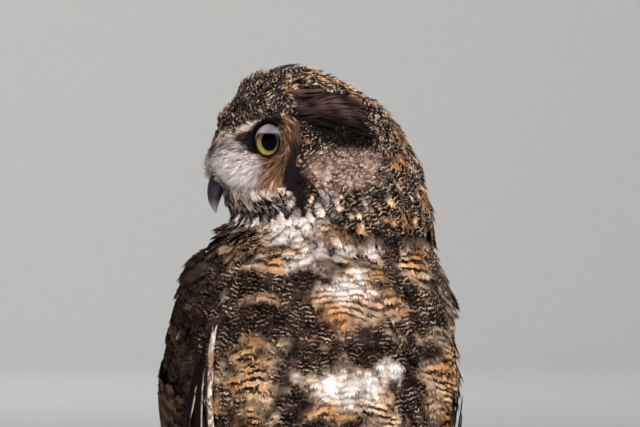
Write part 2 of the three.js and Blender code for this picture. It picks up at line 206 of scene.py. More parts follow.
def eye_place(name):
    """Middle of the eyeball, the way it looks, and its radius. It sits a little forwards and down."""
    axis = np.array([-math.cos(EYE_AXIS), -SIDES[name] * math.sin(EYE_AXIS), 0])
    low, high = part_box(f"eye_{name}")
    radius = (high.z - low.z) / 2
    back = farthest(f"eye_{name}", -axis)
    return back + axis * radius + EYE_SHIFT, axis, radius


EYE, EYE_WAY, _ = eye_place("left")
FACE = EYE - EYE_SHIFT  # the face's zones are measured from here


def folded(points):
    """The same places on the head's left side."""
    left = points.copy()
    left[..., 1] = FACE_MIDDLE - np.abs(points[..., 1] - FACE_MIDDLE)
    return left


def face_place(points):
    """How far ahead of the eye and how far above it a place lies, in mm."""
    return (FACE[0] - points[..., 0]) / MM, (points[..., 2] - FACE[2]) / MM


def from_eye(points):
    """Distance in mm from the line that the nearer eye looks along."""
    offset = folded(points) - EYE
    return np.linalg.norm(offset - (offset @ EYE_WAY)[..., None] * EYE_WAY, axis=-1) / MM


def brow_line(ahead):
    """Height of the face's upper edge above the eye, in mm."""
    return np.interp(ahead, (3, 10, 21, 34, 40), (20, 15.5, 12, 8.5, 5.5))


def face_share(points):
    """1 on the face inside its dark rim, and 0 on the rest of the head."""
    ahead, above = face_place(points)
    return step(ahead, -8, -5) * step(above, -50, -47) * (1 - step(above - brow_line(ahead), 0, 3))


# ---------------------------------------------------------------- camera, light and room
VIEW_AZIMUTH = math.radians(-15)
VIEW_DISTANCE = 3.0
VIEW_WIDTH = 0.480  # what the frame takes in at the bird
VIEW_RIGHT, VIEW_DOWN = 0.0318, 0.0534  # from the left eye to the middle of the picture
SENSOR = 36.0


def aim(name, data, place, way, axis):
    """Puts a camera or a lamp in the scene, with its own axis turned along a way."""
    made = bpy.data.objects.new(name, data)
    made.location = place
    made.rotation_euler = Vector(way).to_track_quat(axis, "Y").to_euler()
    bpy.context.scene.collection.objects.link(made)
    return made


def make_camera():
    """A level camera, aimed by the left eye's place in the picture."""
    right = Vector((math.cos(VIEW_AZIMUTH), math.sin(VIEW_AZIMUTH), 0))
    away = Vector((math.sin(VIEW_AZIMUTH), -math.cos(VIEW_AZIMUTH), 0))
    target = Vector(middle("eye_left")) + right * VIEW_RIGHT - Vector((0, 0, VIEW_DOWN))
    target -= away * (target - Vector(TRUNK_MIDDLE)).dot(away)
    data = bpy.data.cameras.new("camera")
    data.sensor_width = SENSOR
    data.lens = SENSOR * VIEW_DISTANCE / VIEW_WIDTH
    data.clip_end = 50
    bpy.context.scene.camera = aim("camera", data, target + away * VIEW_DISTANCE, away, "Z")


def make_light(name, place, size, power, colour, target=(0, 0, 0.3)):
    """A soft round lamp that points at its target."""
    data = bpy.data.lights.new(name, "AREA")
    data.shape = "DISK"
    data.size = size
    data.energy = power
    data.color = colour
    aim(name, data, place, Vector(target) - Vector(place), "-Z")


def make_room():
    """A pale floor that curves up into a wall all round, beyond where any camera stands."""
    radius, curve, height, around = 9.0, 1.8, 6.0, 96
    profile = [(0.00001, 0.0), (radius - curve, 0.0)]
    for a in np.linspace(0, math.pi / 2, 13)[1:]:
        profile.append((radius - curve + curve * math.sin(a), curve - curve * math.cos(a)))
    profile.append((radius, height))
    turns = np.arange(around) * 2 * math.pi / around
    points = np.concatenate([
        np.stack([r * np.cos(turns), r * np.sin(turns), np.full(around, z)], 1) for r, z in profile
    ])
    room = new_mesh("studio", points, ring_faces(len(profile), around))
    room.data.materials.append(plain_material("studio_paint", (0.80, 0.79, 0.77), 0.9))


def make_studio():
    """The room, its lamps and the faint light from all round."""
    make_room()
    for lamp in (
        ("key", (-0.3, -2.3, 2.2), 0.5, 106, (1.0, 0.96, 0.90)),
        ("fill", (2.2, -2.4, 1.0), 2.0, 20, (0.95, 0.96, 1.0)),
        ("top", (0.1, 0.6, 2.6), 1.6, 30, (0.95, 0.97, 1.0)),
        ("back", (1.6, 2.4, 1.7), 1.4, 30, (1.0, 0.97, 0.93)),
        ("backdrop", (0.2, 5.0, 3.2), 2.5, 62, (1.0, 1.0, 1.0), (2.3, 8.8, 0.5)),
    ):
        make_light(*lamp)
    world = bpy.data.worlds.new("studio_air")
    world.use_nodes = True
    air = world.node_tree.nodes["Background"].inputs
    air["Color"].default_value = (0.88, 0.92, 1.0, 1)
    air["Strength"].default_value = 0.24
    bpy.context.scene.world = world
    bpy.context.scene.view_settings.view_transform = "Standard"


# ---------------------------------------------------------------- materials
class Value:
    """What a shader node gives, which takes part in sums and products."""

    def __init__(self, graph, socket):
        self.graph = graph
        self.socket = socket

    def __add__(self, other):
        return self.graph.maths("ADD", self, other)

    def __sub__(self, other):
        return self.graph.maths("SUBTRACT", self, other)

    def __mul__(self, other):
        return self.graph.maths("MULTIPLY", self, other)

    def __abs__(self):
        return self.graph.maths("ABSOLUTE", self)


class Graph:
    """Short ways to add shader nodes to one material."""

    def __init__(self, name, **surface):
        self.material = bpy.data.materials.new(name)
        self.material.use_nodes = True
        self.tree = self.material.node_tree
        self.surface = self.tree.nodes["Principled BSDF"]
        self.fill(self.surface, {key.replace("_", " "): value for key, value in surface.items()})

    def fill(self, node, inputs):
        """Gives sockets their values, or links where a value comes from another node."""
        for key, value in inputs.items():
            if isinstance(value, Value):
                self.tree.links.new(value.socket, node.inputs[key])
            else:
                node.inputs[key].default_value = value

    def node(self, kind, inputs, output=0, **settings):
        """Adds a node and returns one of its outputs, or all of them where output is None."""
        made = self.tree.nodes.new(f"ShaderNode{kind}")
        for key, value in settings.items():
            setattr(made, key, value)
        self.fill(made, inputs)
        return [Value(self, o) for o in made.outputs] if output is None else Value(self, made.outputs[output])

    def maths(self, operation, *values):
        """One sum, product or function of values."""
        return self.node("Math", dict(enumerate(values)), operation=operation)

    def blend(self, share, a, b, way="MIX"):
        """Colour a where the share is 0, and b where it is 1."""
        a, b = (c if isinstance(c, Value) else (*c, 1) for c in (a, b))
        inputs = {"Factor": share, "A": a, "B": b}
        outputs = self.node("Mix", inputs, None, data_type="RGBA", blend_type=way)
        return next(o for o in outputs if o.socket.type == "RGBA")

    def attribute(self, name, kind):
        """What is kept on the mesh under a name, as a Color or a Vector."""
        return self.node("Attribute", {}, kind, attribute_name=name)

    def place(self):
        """Where a point lies in its object."""
        return self.node("TexCoord", {}, "Object")

    def split(self, vector):
        """The three numbers of a vector."""
        return self.node("SeparateXYZ", {0: vector}, None)

    def join(self, *values):
        """A vector of three numbers."""
        return self.node("CombineXYZ", dict(enumerate(values)))

    def noise(self, vector, scale=1.0, detail=2.0, rough=0.5):
        """Cloudy noise from 0 to 1."""
        inputs = {"Vector": vector, "Scale": scale, "Detail": detail, "Roughness": rough}
        return self.node("TexNoise", inputs, "Fac")

    def ramp(self, value, low, high):
        """0 at low, 1 at high, and a smooth rise between them."""
        inputs = {"Value": value, "From Min": low, "From Max": high}
        return self.node("MapRange", inputs, "Result", interpolation_type="SMOOTHSTEP")

    def bump(self, height, strength, distance):
        """Makes the surface look raised where height is great."""
        inputs = {"Height": height, "Strength": strength, "Distance": distance}
        self.fill(self.surface, {"Normal": self.node("Bump", inputs)})

    def finish(self, colour):
        """Paints the surface and returns its material."""
        self.fill(self.surface, {"Base Color": colour})
        return self.material


def plain_material(name, colour, roughness):
    """One colour, hardly noticeably cloudy."""
    graph = Graph(name, Roughness=roughness)
    speck = graph.noise(graph.place(), 40.0)
    dark = tuple(0.97 * c for c in colour)
    return graph.finish(graph.blend(graph.ramp(speck, 0.2, 0.8), dark, colour))


def plumage():
    """Feather colour: the painted ground, fine marks over it, and the streaks of single barbs.

    paint is the ground colour and fine the marks' colour. vane is (along in mm, across in mm,
    seed), and mark is (bar phase, strength of the bars, strength of the fine wavy marks).
    """
    graph = Graph("feathers", Roughness=0.75, Specular_IOR_Level=0.03)
    noise, join, ramp, turn = graph.noise, graph.join, graph.ramp, 2 * math.pi
    paint, fine = graph.attribute("paint", "Color"), graph.attribute("fine", "Color")
    along, across, seed = graph.split(graph.attribute("vane", "Vector"))
    phase, bars, worms = graph.split(graph.attribute("mark", "Vector"))
    far = seed * 7.3
    slow = noise(join(across * 0.3, along * 0.12, seed))
    quick = noise(join(across * 1.1, along * 0.35, far))
    wave = graph.maths("SINE", (phase + (slow * 0.7 + quick * 0.45)) * turn)
    bar = ramp(wave, -0.1, 0.4) * bars
    weave = noise(join(across * 0.24, along * 0.10, far), rough=0.6)
    crest = graph.maths("SINE", (along * 0.28 + weave * 2.0) * turn)
    gap = noise(join(along * 0.16, across * 0.16, far + 9.0))
    grain = noise(join(along * 0.50, across * 0.36, far))
    curl = ramp(abs(grain + -0.5), 0.04, 0.012)
    dashes = ramp(crest, 0.3, 0.8) * ramp(gap, 0.44, 0.57)
    curls = curl * 0.8 * ramp(gap, 0.42, 0.36)
    worm = graph.maths("MAXIMUM", dashes, curls) * worms
    marked = graph.blend(graph.maths("MAXIMUM", bar, worm), paint, fine)
    streak = noise(join((along - abs(across) * 0.7) * 1.7, across * 0.12, seed), rough=0.7)
    shade = streak * 1.3 + 0.32
    graph.bump(streak, 0.35, 0.5 * MM)
    return graph.finish(graph.blend(1.0, marked, join(shade, shade, shade), "MULTIPLY"))


FEATHER_LOOK = plumage()


# ---------------------------------------------------------------- the skin
SKIN_VOXEL = 2.4 * MM
LOOK_REACH, BOX_MARGIN = 20 * MM, 6 * MM  # how far a solid is looked for, from a point and from its box
SPREAD_KEPT = 0.4  # what a point keeps of its own number when numbers are smoothed
SINK_STEPS = 5
# Depth of the coat, room between feathers, length and half-width of a feather, all in mm.
COAT = {
    "head": (3.6, 2.7, 11.0, 2.6),
    "neck": (6.0, 4.4, 18.0, 4.6),
    "facial_disc": (2.4, 1.5, 13.0, 1.5),
    "trunk": (7.0, 6.0, 27.0, 8.4),
    "wing": (4.0, 7.0, 28.0, 8.6),
    "thigh": (5.0, 4.6, 21.0, 5.8),
    "tarsus": (3.2, 2.3, 12.0, 2.4),
    "foot": (1.8, 1.8, 7.0, 1.7),
}
NAPE_GROWTH = (0.2, 0.55, 0.45, 0.65)  # how much deeper, roomier, longer and wider at the nape


def forehead(places):
    """How much of the forehead's bulge lies at each place, from 0 to 1."""
    ahead, above = face_place(folded(places))
    return hump((ahead - 30) / 16, (above - 34) / 14)


class Skin:
    """The smooth body under the feathers, with the coat's settings on each of its points."""

    def __init__(self):
        self.obj = self.fused()
        mesh = self.obj.data
        mesh.calc_loop_triangles()
        self.points = np.array([v.co for v in mesh.vertices])
        self.triangles = np.array([t.vertices for t in mesh.loop_triangles])
        self.edges = np.array([e.vertices for e in mesh.edges])
        self.count = np.bincount(self.edges.ravel(), minlength=len(self.points))[:, None]
        self.names = np.array(FLESH)[self.nearest_nodes()]
        face = np.isin(self.names, FLESH[:3]) & (face_share(self.points) > 0.5)
        left = self.points[:, 1] < FACE_MIDDLE
        self.names[np.char.startswith(self.names, "facial")] = "head"
        self.names[face & left] = "facial_disc_left"
        self.names[face & ~left] = "facial_disc_right"
        self.kinds = np.array([next(kind for kind in COAT if name.startswith(kind)) for name in self.names])
        coat = np.array([COAT[kind] for kind in self.kinds])
        nape = step(-face_place(folded(self.points))[0], 40, 70) * (self.kinds == "head")
        coat = coat * (1 + nape[:, None] * np.array(NAPE_GROWTH))
        coat[:, 0] *= 1 - 0.7 * forehead(self.points)
        self.coat = self.spread(coat, 8)
        self.sink()
        self.tree = BVHTree.FromPolygons(self.points.tolist(), self.triangles.tolist())
        self.normals = unit(self.spread(self.find_normals(), 3))

    def fused(self):
        """All solids of flesh melted into one rounded body."""
        points = [node_points(name) for name in FLESH]
        firsts = np.cumsum([0] + [len(part) for part in points])
        faces = [np.array(node_faces(name)) + first for name, first in zip(FLESH, firsts)]
        obj = new_mesh("skin", np.concatenate(points), np.concatenate(faces))
        remesh = obj.modifiers.new("fuse", "REMESH")
        remesh.mode = "VOXEL"
        remesh.voxel_size = SKIN_VOXEL
        smooth = obj.modifiers.new("smooth", "SMOOTH")
        smooth.factor = 0.5
        smooth.iterations = 6
        return settle(obj)

    def nearest_nodes(self):
        """Which solid each point of the skin lies on."""
        best = np.full(len(self.points), LOOK_REACH)
        which = np.zeros(len(self.points), int)
        for index, name in enumerate(FLESH):
            tree = BVHTree.FromPolygons(node_points(name).tolist(), node_faces(name))
            low, high = (np.array(c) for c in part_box(name))
            near = np.all((self.points > low - BOX_MARGIN) & (self.points < high + BOX_MARGIN), axis=1)
            for i in np.nonzero(near)[0]:
                distance = tree.find_nearest(Vector(self.points[i]), best[i])[3]
                if distance is not None and distance < best[i]:
                    best[i] = distance
                    which[i] = index
        return which

    def spread(self, values, rounds):
        """Smooths numbers over neighbouring points."""
        a, b = self.edges.T
        for _ in range(rounds):
            total = np.zeros_like(values)
            np.add.at(total, a, values[b])
            np.add.at(total, b, values[a])
            values = SPREAD_KEPT * values + (1 - SPREAD_KEPT) * total / self.count
        return values

    def find_normals(self):
        """Outward directions at the points, from the triangles round them."""
        corners = self.points[self.triangles]
        face = np.cross(corners[:, 1] - corners[:, 0], corners[:, 2] - corners[:, 0])
        normals = np.zeros_like(self.points)
        for k in range(3):
            np.add.at(normals, self.triangles[:, k], face)
        return unit(normals)

    def sink(self):
        """Moves the skin in by the coat's depth, in a few small smoothed steps."""
        for _ in range(SINK_STEPS):
            normals = unit(self.spread(self.find_normals(), 2))
            self.points = self.points - normals * self.coat[:, :1] * MM / SINK_STEPS
            self.points = 0.65 * self.points + 0.35 * self.spread(self.points, 1)
        self.obj.data.vertices.foreach_set("co", self.points.astype(np.float32).ravel())
        self.obj.data.update()

    def nearest(self, points):
        """The nearest places on the skin, with its outward direction there."""
        places = np.empty_like(points)
        normals = np.empty_like(points)
        for i, p in enumerate(points):
            places[i], normals[i], _, _ = self.tree.find_nearest(Vector(p))
        return places, normals


# ---------------------------------------------------------------- which way the feathers lie
def tangent(directions, normals):
    """The part of each direction along the surface, with a length of 1."""
    return unit(directions - normals * np.sum(directions * normals, axis=-1, keepdims=True))


def lie_of_face(points):
    """Feathers fan out from the eye, turn down behind it, and run back along the chin."""
    left = folded(points)
    ahead, above = face_place(points)
    out = unit(left - EYE)
    turn = math.radians(75) * (1 - step(ahead, 8, 22)) * (1 - 0.6 * step(-above, 16, 30))
    way = out * np.cos(turn)[:, None] + np.cross(out, EYE_WAY) * np.sin(turn)[:, None]
    lores = step(ahead, 9, 24) * step(above, -36, -24)
    way = tint(way, np.array([-0.95, 0.25, -0.25]), 0.8 * lores)
    way = tint(way, np.array([-1.0, 0.3, 0.25]), 0.9 * step(above, 5, 11) * step(ahead, 4, 12))
    way = tint(way, np.array([0.95, -0.1, -0.2]), 1 - step(above, -36, -31))
    right = points[:, 1] > FACE_MIDDLE
    way[right, 1] *= -1
    return way


def lie_of_coat(skin):
    """The way a feather points at each place of the skin, from its root to its tip."""
    p = skin.points
    ways = np.zeros_like(p)
    head = np.isin(skin.kinds, ("head", "neck"))
    lower = step(CROWN - p[:, 2], 0.03, 0.12)[:, None]
    parting = BILL_ROOT + np.array([-4, 0, 12]) * MM  # where the feathers of the head fan out from
    from_bill = unit(p - parting)
    ways[head] = (from_bill + lower * np.array([0, 0, -1.3]))[head]
    face = skin.kinds == "facial_disc"
    ways[face] = lie_of_face(p[face])
    for name in SIDES:
        wing = skin.names == f"wing_{name}"
        ways[wing] = wing_plan(name)[1]
        foot = skin.names == f"foot_{name}"
        ways[foot] = (unit(p - middle(f"foot_{name}")) + np.array([0, -0.2, -0.3]))[foot]
    trunk = skin.kinds == "trunk"
    low = step(TRUNK_LOW[2] + 0.075 - p[:, 2], 0, 0.07)
    back = step(p[:, 1] - TRUNK_MIDDLE[1], -0.01, 0.05)
    aside = np.sign(p[:, 0]) * 0.1 * (1 - low)
    down = np.stack([aside, 0.1 + 1.2 * low + 0.5 * back, -1 + 0.3 * low], 1)
    ways[trunk] = down[trunk]
    ways[np.isin(skin.kinds, ("thigh", "tarsus"))] = np.array([0, -0.1, -1])
    ways = skin.spread(tangent(ways, skin.normals), 4)
    return tangent(ways, skin.normals)


def scatter(skin, seed):
    """Seeded roots over the skin, evenly spaced by the coat's own room."""
    tries = 4.0  # places tried for each that there is room for
    cell = 3 * MM  # of the grid in which near roots are looked up
    closest = 0.86  # how near two roots may come, as a share of their room
    rng = np.random.default_rng(seed)
    a, b, c = skin.points[skin.triangles].transpose(1, 0, 2)
    area = 0.5 * np.linalg.norm(np.cross(b - a, c - a), axis=1)
    room = skin.coat[skin.triangles][:, :, 1].mean(1) * MM
    face = np.repeat(np.arange(len(area)), rng.poisson(area / room**2 * tries))
    face = face[rng.permutation(len(face))]
    share = rng.dirichlet((1, 1, 1), len(face))
    place = np.einsum("nk,nkc->nc", share, skin.points[skin.triangles[face]])
    reach = room[face] * closest
    grid, kept = {}, []
    for i, (x, y, z) in enumerate(place.tolist()):
        cells = range(-int(reach[i] // cell) - 1, int(reach[i] // cell) + 2)
        home = [int(value // cell) for value in (x, y, z)]
        near = (
            grid.get((home[0] + a, home[1] + b, home[2] + c), ())
            for a in cells for b in cells for c in cells
        )
        apart = reach[i] ** 2
        if all((u - x) ** 2 + (v - y) ** 2 + (w - z) ** 2 >= apart for spots in near for u, v, w in spots):
            grid.setdefault(tuple(home), []).append((x, y, z))
            kept.append(i)
    return face[kept], share[kept], place[kept]


LEVELS = 5  # places along a small feather where its middle line is worked out


def laid(skin, roots, ways, normals, length, depth, rng, cling=1.0):
    """Middle lines that start at the roots and follow the skin, rising towards their tips.

    cling is how closely they keep to the skin: 1 lies on it and 0 leaves it straight.
    """
    count = len(roots)
    cling = np.broadcast_to(cling, count)[:, None]
    turn = rng.normal(0, 0.15, count)[:, None]
    way = ways * np.cos(turn) + np.cross(normals, ways) * np.sin(turn)
    centre, up = [roots], [normals]
    for _ in range(LEVELS - 1):
        ahead = centre[-1] + way * (length / (LEVELS - 1))[:, None]
        place, normal = skin.nearest(ahead)
        inside = np.sum((ahead - place) * normal, axis=1, keepdims=True) < 0
        place = np.where(inside, place, ahead + (place - ahead) * cling)
        up.append(unit(0.5 * up[-1] + 0.5 * normal))
        way = tangent(0.5 * way + 0.5 * unit(place - centre[-1]), up[-1])
        centre.append(place)
    centre, up = np.stack(centre, 1), np.stack(up, 1)
    rise = rng.uniform(0.55, 1.2, count) * (1 + 0.35 * cloud(roots, 16, 77))
    lift = (depth * rise)[:, None] * (0.1 + 0.9 * np.linspace(0, 1, LEVELS))
    return centre + up * lift[:, :, None], up


# ---------------------------------------------------------------- the shape of one feather
WIDEST = 0.56  # share of its length where a soft feather is widest


def outline(turn, share):
    """A place on a leaf shape: turn is 0 at the tip and pi at the root, share the size."""
    reach = (1 - WIDEST) if abs(turn) < math.pi / 2 else WIDEST
    return WIDEST + reach * math.cos(turn) * share, math.sin(turn) * share


def leaf(rng, segments, fringe, inner=0.7, ragged=0.08, clump=4, lean=0.14):
    """A soft feather laid flat: a closed middle, and a fringe of barb ends round its edge.

    Its points are (along, across, lift, tone, face), in shares of length and half-width; face is 1 on
    the outer side and -1 on the inner. ragged is how uneven the barbs' ends are, clump how many cling
    together, and lean how far they point forwards.
    """
    points, faces = [], []

    def facet(tone, *corners):
        """One triangle whose front is the feather's outer side."""
        (a, b, _), (c, d, _), (e, f, _) = corners
        if (c - a) * (f - b) > (d - b) * (e - a):
            corners = corners[::-1]
        first = len(points)
        points.extend((*corner, tone, 1) for corner in corners)
        faces.append((first, first + 1, first + 2))

    spread = math.pi * 0.93
    for side in (-1, 1):
        edge = [outline(side * spread * (1 - i / segments), inner) for i in range(segments + 1)]
        for (a, b), (c, d) in zip(edge, edge[1:]):
            facet(0, (a, 0, 0), (a, b, 0), (c, d, 0))
            facet(0, (a, 0, 0), (c, d, 0), (c, 0, 0))
        for i in range(fringe):
            if i % clump == 0:
                gather = i + (clump - 1) / 2 + rng.uniform(-0.8, 0.8)
                shade = rng.normal(0, 0.1)
                size = 1 + rng.normal(0, ragged)
            low, high = (side * spread * (1 - (i + k) / fringe) for k in (-0.25, 1.25))
            aim = side * spread * (1 - (0.5 * (i + 0.5) + 0.5 * gather) / fringe) * (1 - lean)
            tip = outline(aim, size + rng.normal(0, ragged))
            root_a, root_b = outline(low, inner * 0.95), outline(high, inner * 0.95)
            facet(shade + rng.normal(0, 0.1), (*root_a, 0), (*tip, rng.normal(0, 0.05)), (*root_b, 0))
    return np.array(points), np.array(faces)


def wisp(rng):
    """A lax hair-like feather: a few thin curved barbs from one root."""
    strands, spread, wide = 5, 0.9, 0.13
    points, faces = [], []
    for i in range(strands):
        aim = (i / (strands - 1) * 2 - 1) * spread + rng.normal(0, 0.15)
        reach = rng.uniform(0.6, 1.0)
        start = 0.1 * i / strands
        lift = rng.normal(0, 0.25)
        tone = rng.normal(0, 0.2)
        first = len(points)
        for share, half in ((0, 0.8), (0.4, 1.0), (0.75, 0.7)):
            for side in (-1, 1):
                across = aim * share**1.3 + side * wide * half
                points.append((between(start, reach, share), across, lift * share, tone, 1))
        points.append((reach, aim, lift, tone, 1))
        strip = ((0, 1, 3), (0, 3, 2), (2, 3, 5), (2, 5, 4), (4, 5, 6))
        faces.extend(tuple(first + k for k in corners) for corners in strip)
    return np.array(points), np.array(faces)


def blade(rng, widest=0.6, narrow=0.5):
    """A flight feather as a thin closed plate with a ridge of quill along its middle."""
    steps, columns, thick, splits = 22, 6, 0.02, 2
    share = np.linspace(0, 1, steps + 1)
    past = (share - widest) / (1 - widest)
    share = np.where(past > 0, widest + (1 - widest) * np.sin(past * math.pi / 2), share)
    past = (share - widest) / (1 - widest)
    root_side = between(narrow, 1, step(share, 0, widest))
    wide = np.where(share < widest, root_side, np.sqrt(np.clip(1 - past**3, 0.0004, 1)))
    notch = np.ones((2, steps + 1))
    for side in (0, 1):
        for at in rng.integers(steps // 3, steps - 2, splits):
            notch[side, at] = rng.uniform(0.82, 0.93)
    across = np.linspace(-1, 1, columns + 1)
    ridge = 2.4 * thick * hump(across / 0.12)
    points, faces = [], []
    for face in (1, -1):
        for i in range(steps + 1):
            for j, c in enumerate(across):
                v = c * wide[i] * notch[int(c > 0), i]
                edge = 0.0 if j in (0, columns) or i in (0, steps) else 1.0
                lean = 0.06 * abs(c) * (1 - share[i])
                deep = face * edge * (thick + ridge[j] * (1 - 0.8 * share[i]))
                points.append((share[i] - lean, v, deep, 0, face))
    row = columns + 1
    other = (steps + 1) * row  # where the inner side's points start
    for i in range(steps):
        for j in range(columns):
            a, b, c, d = i * row + j, i * row + j + 1, (i + 1) * row + j + 1, (i + 1) * row + j
            faces.extend([(a, b, c), (a, c, d)])
            faces.extend([(other + a, other + c, other + b), (other + a, other + d, other + c)])
    return np.array(points), np.array(faces)


LAYERS = ("paint", "fine", "mark", "vane")  # what the plumage reads from every mesh
TUFT_PATCH = 0.003  # size of a small feather's place on the bake map
ODD_BRIGHTNESS = 0.18  # how much brighter or darker an odd feather is
ODD_SEEDS = 50  # how far apart feathers lie in the noise of the plumage


class Feathers:
    """Many feathers as one mesh: a template is bent along each feather's own middle line."""

    def __init__(self, name, centre, up, half, seed, twist=0.15, patch=None):
        """patch is for a few long feathers: each then has its own wide place on the bake map."""
        self.name = name
        self.centre = centre
        self.half = half
        self.rng = np.random.default_rng(seed)
        self.count, self.levels = centre.shape[:2]
        self.length = np.linalg.norm(np.diff(centre, axis=1), axis=-1).sum(1)
        along = unit(np.gradient(centre, axis=1))
        up = tangent(up, along)
        across = np.cross(along, up)
        roll = self.rng.normal(0, twist, (self.count, 1, 1))
        self.up = up * np.cos(roll) - across * np.sin(roll)
        self.across = across * np.cos(roll) + up * np.sin(roll)
        self.odd = self.rng.uniform(-1, 1, self.count)
        self.patch = patch or TUFT_PATCH
        turn = (np.arange(self.count) + 0.5) / self.count
        self.uv = np.stack([turn, np.full(self.count, 0.5)], -1) if patch else self.bake_place()

    def bake_place(self):
        """Each root's place on the skin unrolled about a standing axis through this part."""
        roots = self.centre[:, 0]
        low, high = roots.min(0), roots.max(0)
        axis = (low + high) / 2
        turn = np.arctan2(roots[:, 0] - axis[0], -(roots[:, 1] - axis[1]))
        rise = (roots[:, 2] - low[2]) / max(high[2] - low[2], 1e-6)
        return 0.01 + 0.98 * np.stack([turn / (2 * math.pi) + 0.5, rise], -1)

    def build(self, templates, paint, slot, *nodes, camber=0.2, soft=0.75):
        """Lays a template on every feather and paints it. soft is how far it shades as one with the rest."""
        pick = self.rng.integers(0, len(templates), self.count)
        parts, first = [], 0
        for index, (flat, faces) in enumerate(templates):
            chosen = np.nonzero(pick == index)[0]
            if not len(chosen):
                continue
            u, v, w, tone, face = flat.T
            level = within(u) * (self.levels - 1)
            low = np.minimum(level.astype(int), self.levels - 2)
            share = (level - low)[None, :, None]

            def at(values):
                """Numbers along each feather, at the template's points."""
                return values[chosen][:, low] * (1 - share) + values[chosen][:, low + 1] * share

            def rows(*columns):
                """One row of numbers for every point."""
                return np.stack([blank + column for column in columns], -1).reshape(-1, len(columns))

            def coloured(colour):
                """A colour for every point, as bright as its barb and its feather are."""
                colour = np.broadcast_to(colour, points.shape) * bright
                return np.concatenate([colour, blank[..., None] + 1], -1).reshape(-1, 4)

            half = self.half[chosen][:, None, None]
            length, odd = self.length[chosen][:, None], self.odd[chosen][:, None]
            centre, across, up = at(self.centre), at(self.across), at(self.up)
            points = centre + across * v[:, None] * half + up * (w - camber * v**2)[:, None] * half
            points += np.cross(up, across) * ((u - within(u)) * length)[:, :, None]
            count, size = points.shape[:2]
            blank = np.zeros((count, size))
            ground, line, *marks = paint(points, self.centre[chosen][:, :1], u[None], v[None], odd)
            bright = (1 + tone)[None, :, None] * (1 + ODD_BRIGHTNESS * odd[:, :, None])
            outward = up * face[:, None] + across * (v * (1 - soft))[:, None]
            patch = self.patch * np.stack([v * 0.5, u - 0.5], -1)
            parts.append((
                points.reshape(-1, 3),
                (faces[None] + (first + np.arange(count) * size)[:, None, None]).reshape(-1, 3),
                coloured(ground),
                coloured(line),
                rows(*marks),
                rows(u * length / MM, v * half[:, :, 0] / MM, odd * ODD_SEEDS),
                unit(outward).reshape(-1, 3),
                (self.uv[chosen][:, None] + patch).reshape(-1, 2),
            ))
            first += count * size
        points, faces, *layers, outward, uv = (np.concatenate(column) for column in zip(*parts))
        obj = new_mesh(self.name, points, faces)
        for key, values in zip(LAYERS, layers):
            set_points(obj, key, values)
        set_bake_map(obj, uv)
        obj.data.normals_split_custom_set_from_vertices(outward.tolist())
        return own(obj, FEATHER_LOOK, slot, *nodes)


# ---------------------------------------------------------------- markings
BLACK = rgb(12, 9, 9)
DARK = rgb(27, 19, 18)
BROWN = rgb(84, 60, 50)
BUFF = rgb(178, 134, 100)
ORANGE = rgb(188, 136, 88)
CREAM = rgb(216, 190, 164)
WHITE = rgb(224, 213, 210)
GREY = rgb(128, 116, 114)
IVORY = tint(CREAM, WHITE, 0.5)

# Marks of the breast: degrees round from its middle, height above the floor in mm, and half sizes.
# The last dark mark, far round on the right side by the wing, is painted shade under the wing.
DARK_FIELDS = (
    (-30, 311, 14, 15), (5, 291, 13, 9), (35, 320, 9, 18), (32, 268, 8, 32),
    (-27, 256, 4, 24), (-52, 338, 8, 9), (-22, 337, 8, 7), (-50, 305, 8, 10),
    (54, 312, 7, 9), (-6, 231, 12, 6), (-76, 300, 12, 50),
)
PALE_FIELDS = (
    (1, 262, 16, 14), (22, 272, 10, 5), (-31, 381, 24, 11), (-20, 356, 10, 12),
    (8, 361, 12, 6), (3, 332, 13, 11),
)
WARM_FIELDS = (
    (6, 325, 17, 16), (-43, 270, 9, 24), (56, 268, 11, 30), (42, 347, 12, 14),
    (8, 241, 20, 8), (-18, 352, 8, 8), (-40, 326, 10, 4), (-38, 356, 9, 6),
)
BAR_PITCH = 5.8  # mm between the thin dark bars of flanks and belly
LEG_BAR_PITCH = 5.5
HOOD_EDGE, THROAT_RISE = 368, 23  # height in mm of the hood's lower edge, and how much higher it is in front


def body_angle(points):
    """Degrees round the trunk from the middle of the breast, plus to the left side."""
    away = points - TRUNK_MIDDLE
    return np.degrees(np.arctan2(away[..., 0], -away[..., 1]))


def hood_edge(angle):
    """Height in mm where the hood's feathers end over the breast and the back; higher at the throat."""
    return HOOD_EDGE + THROAT_RISE * (1 - step(angle, -20, 12)) * step(angle, -150, -110)


def field(marks, angle, high):
    """How much of these marks lies at each place, from 0 to 1."""
    total = 0.0
    for turn, rise, wide, tall in marks:
        total = np.maximum(total, 1.2 * hump((angle - turn) / wide, (high - rise) / tall))
    return within(total)


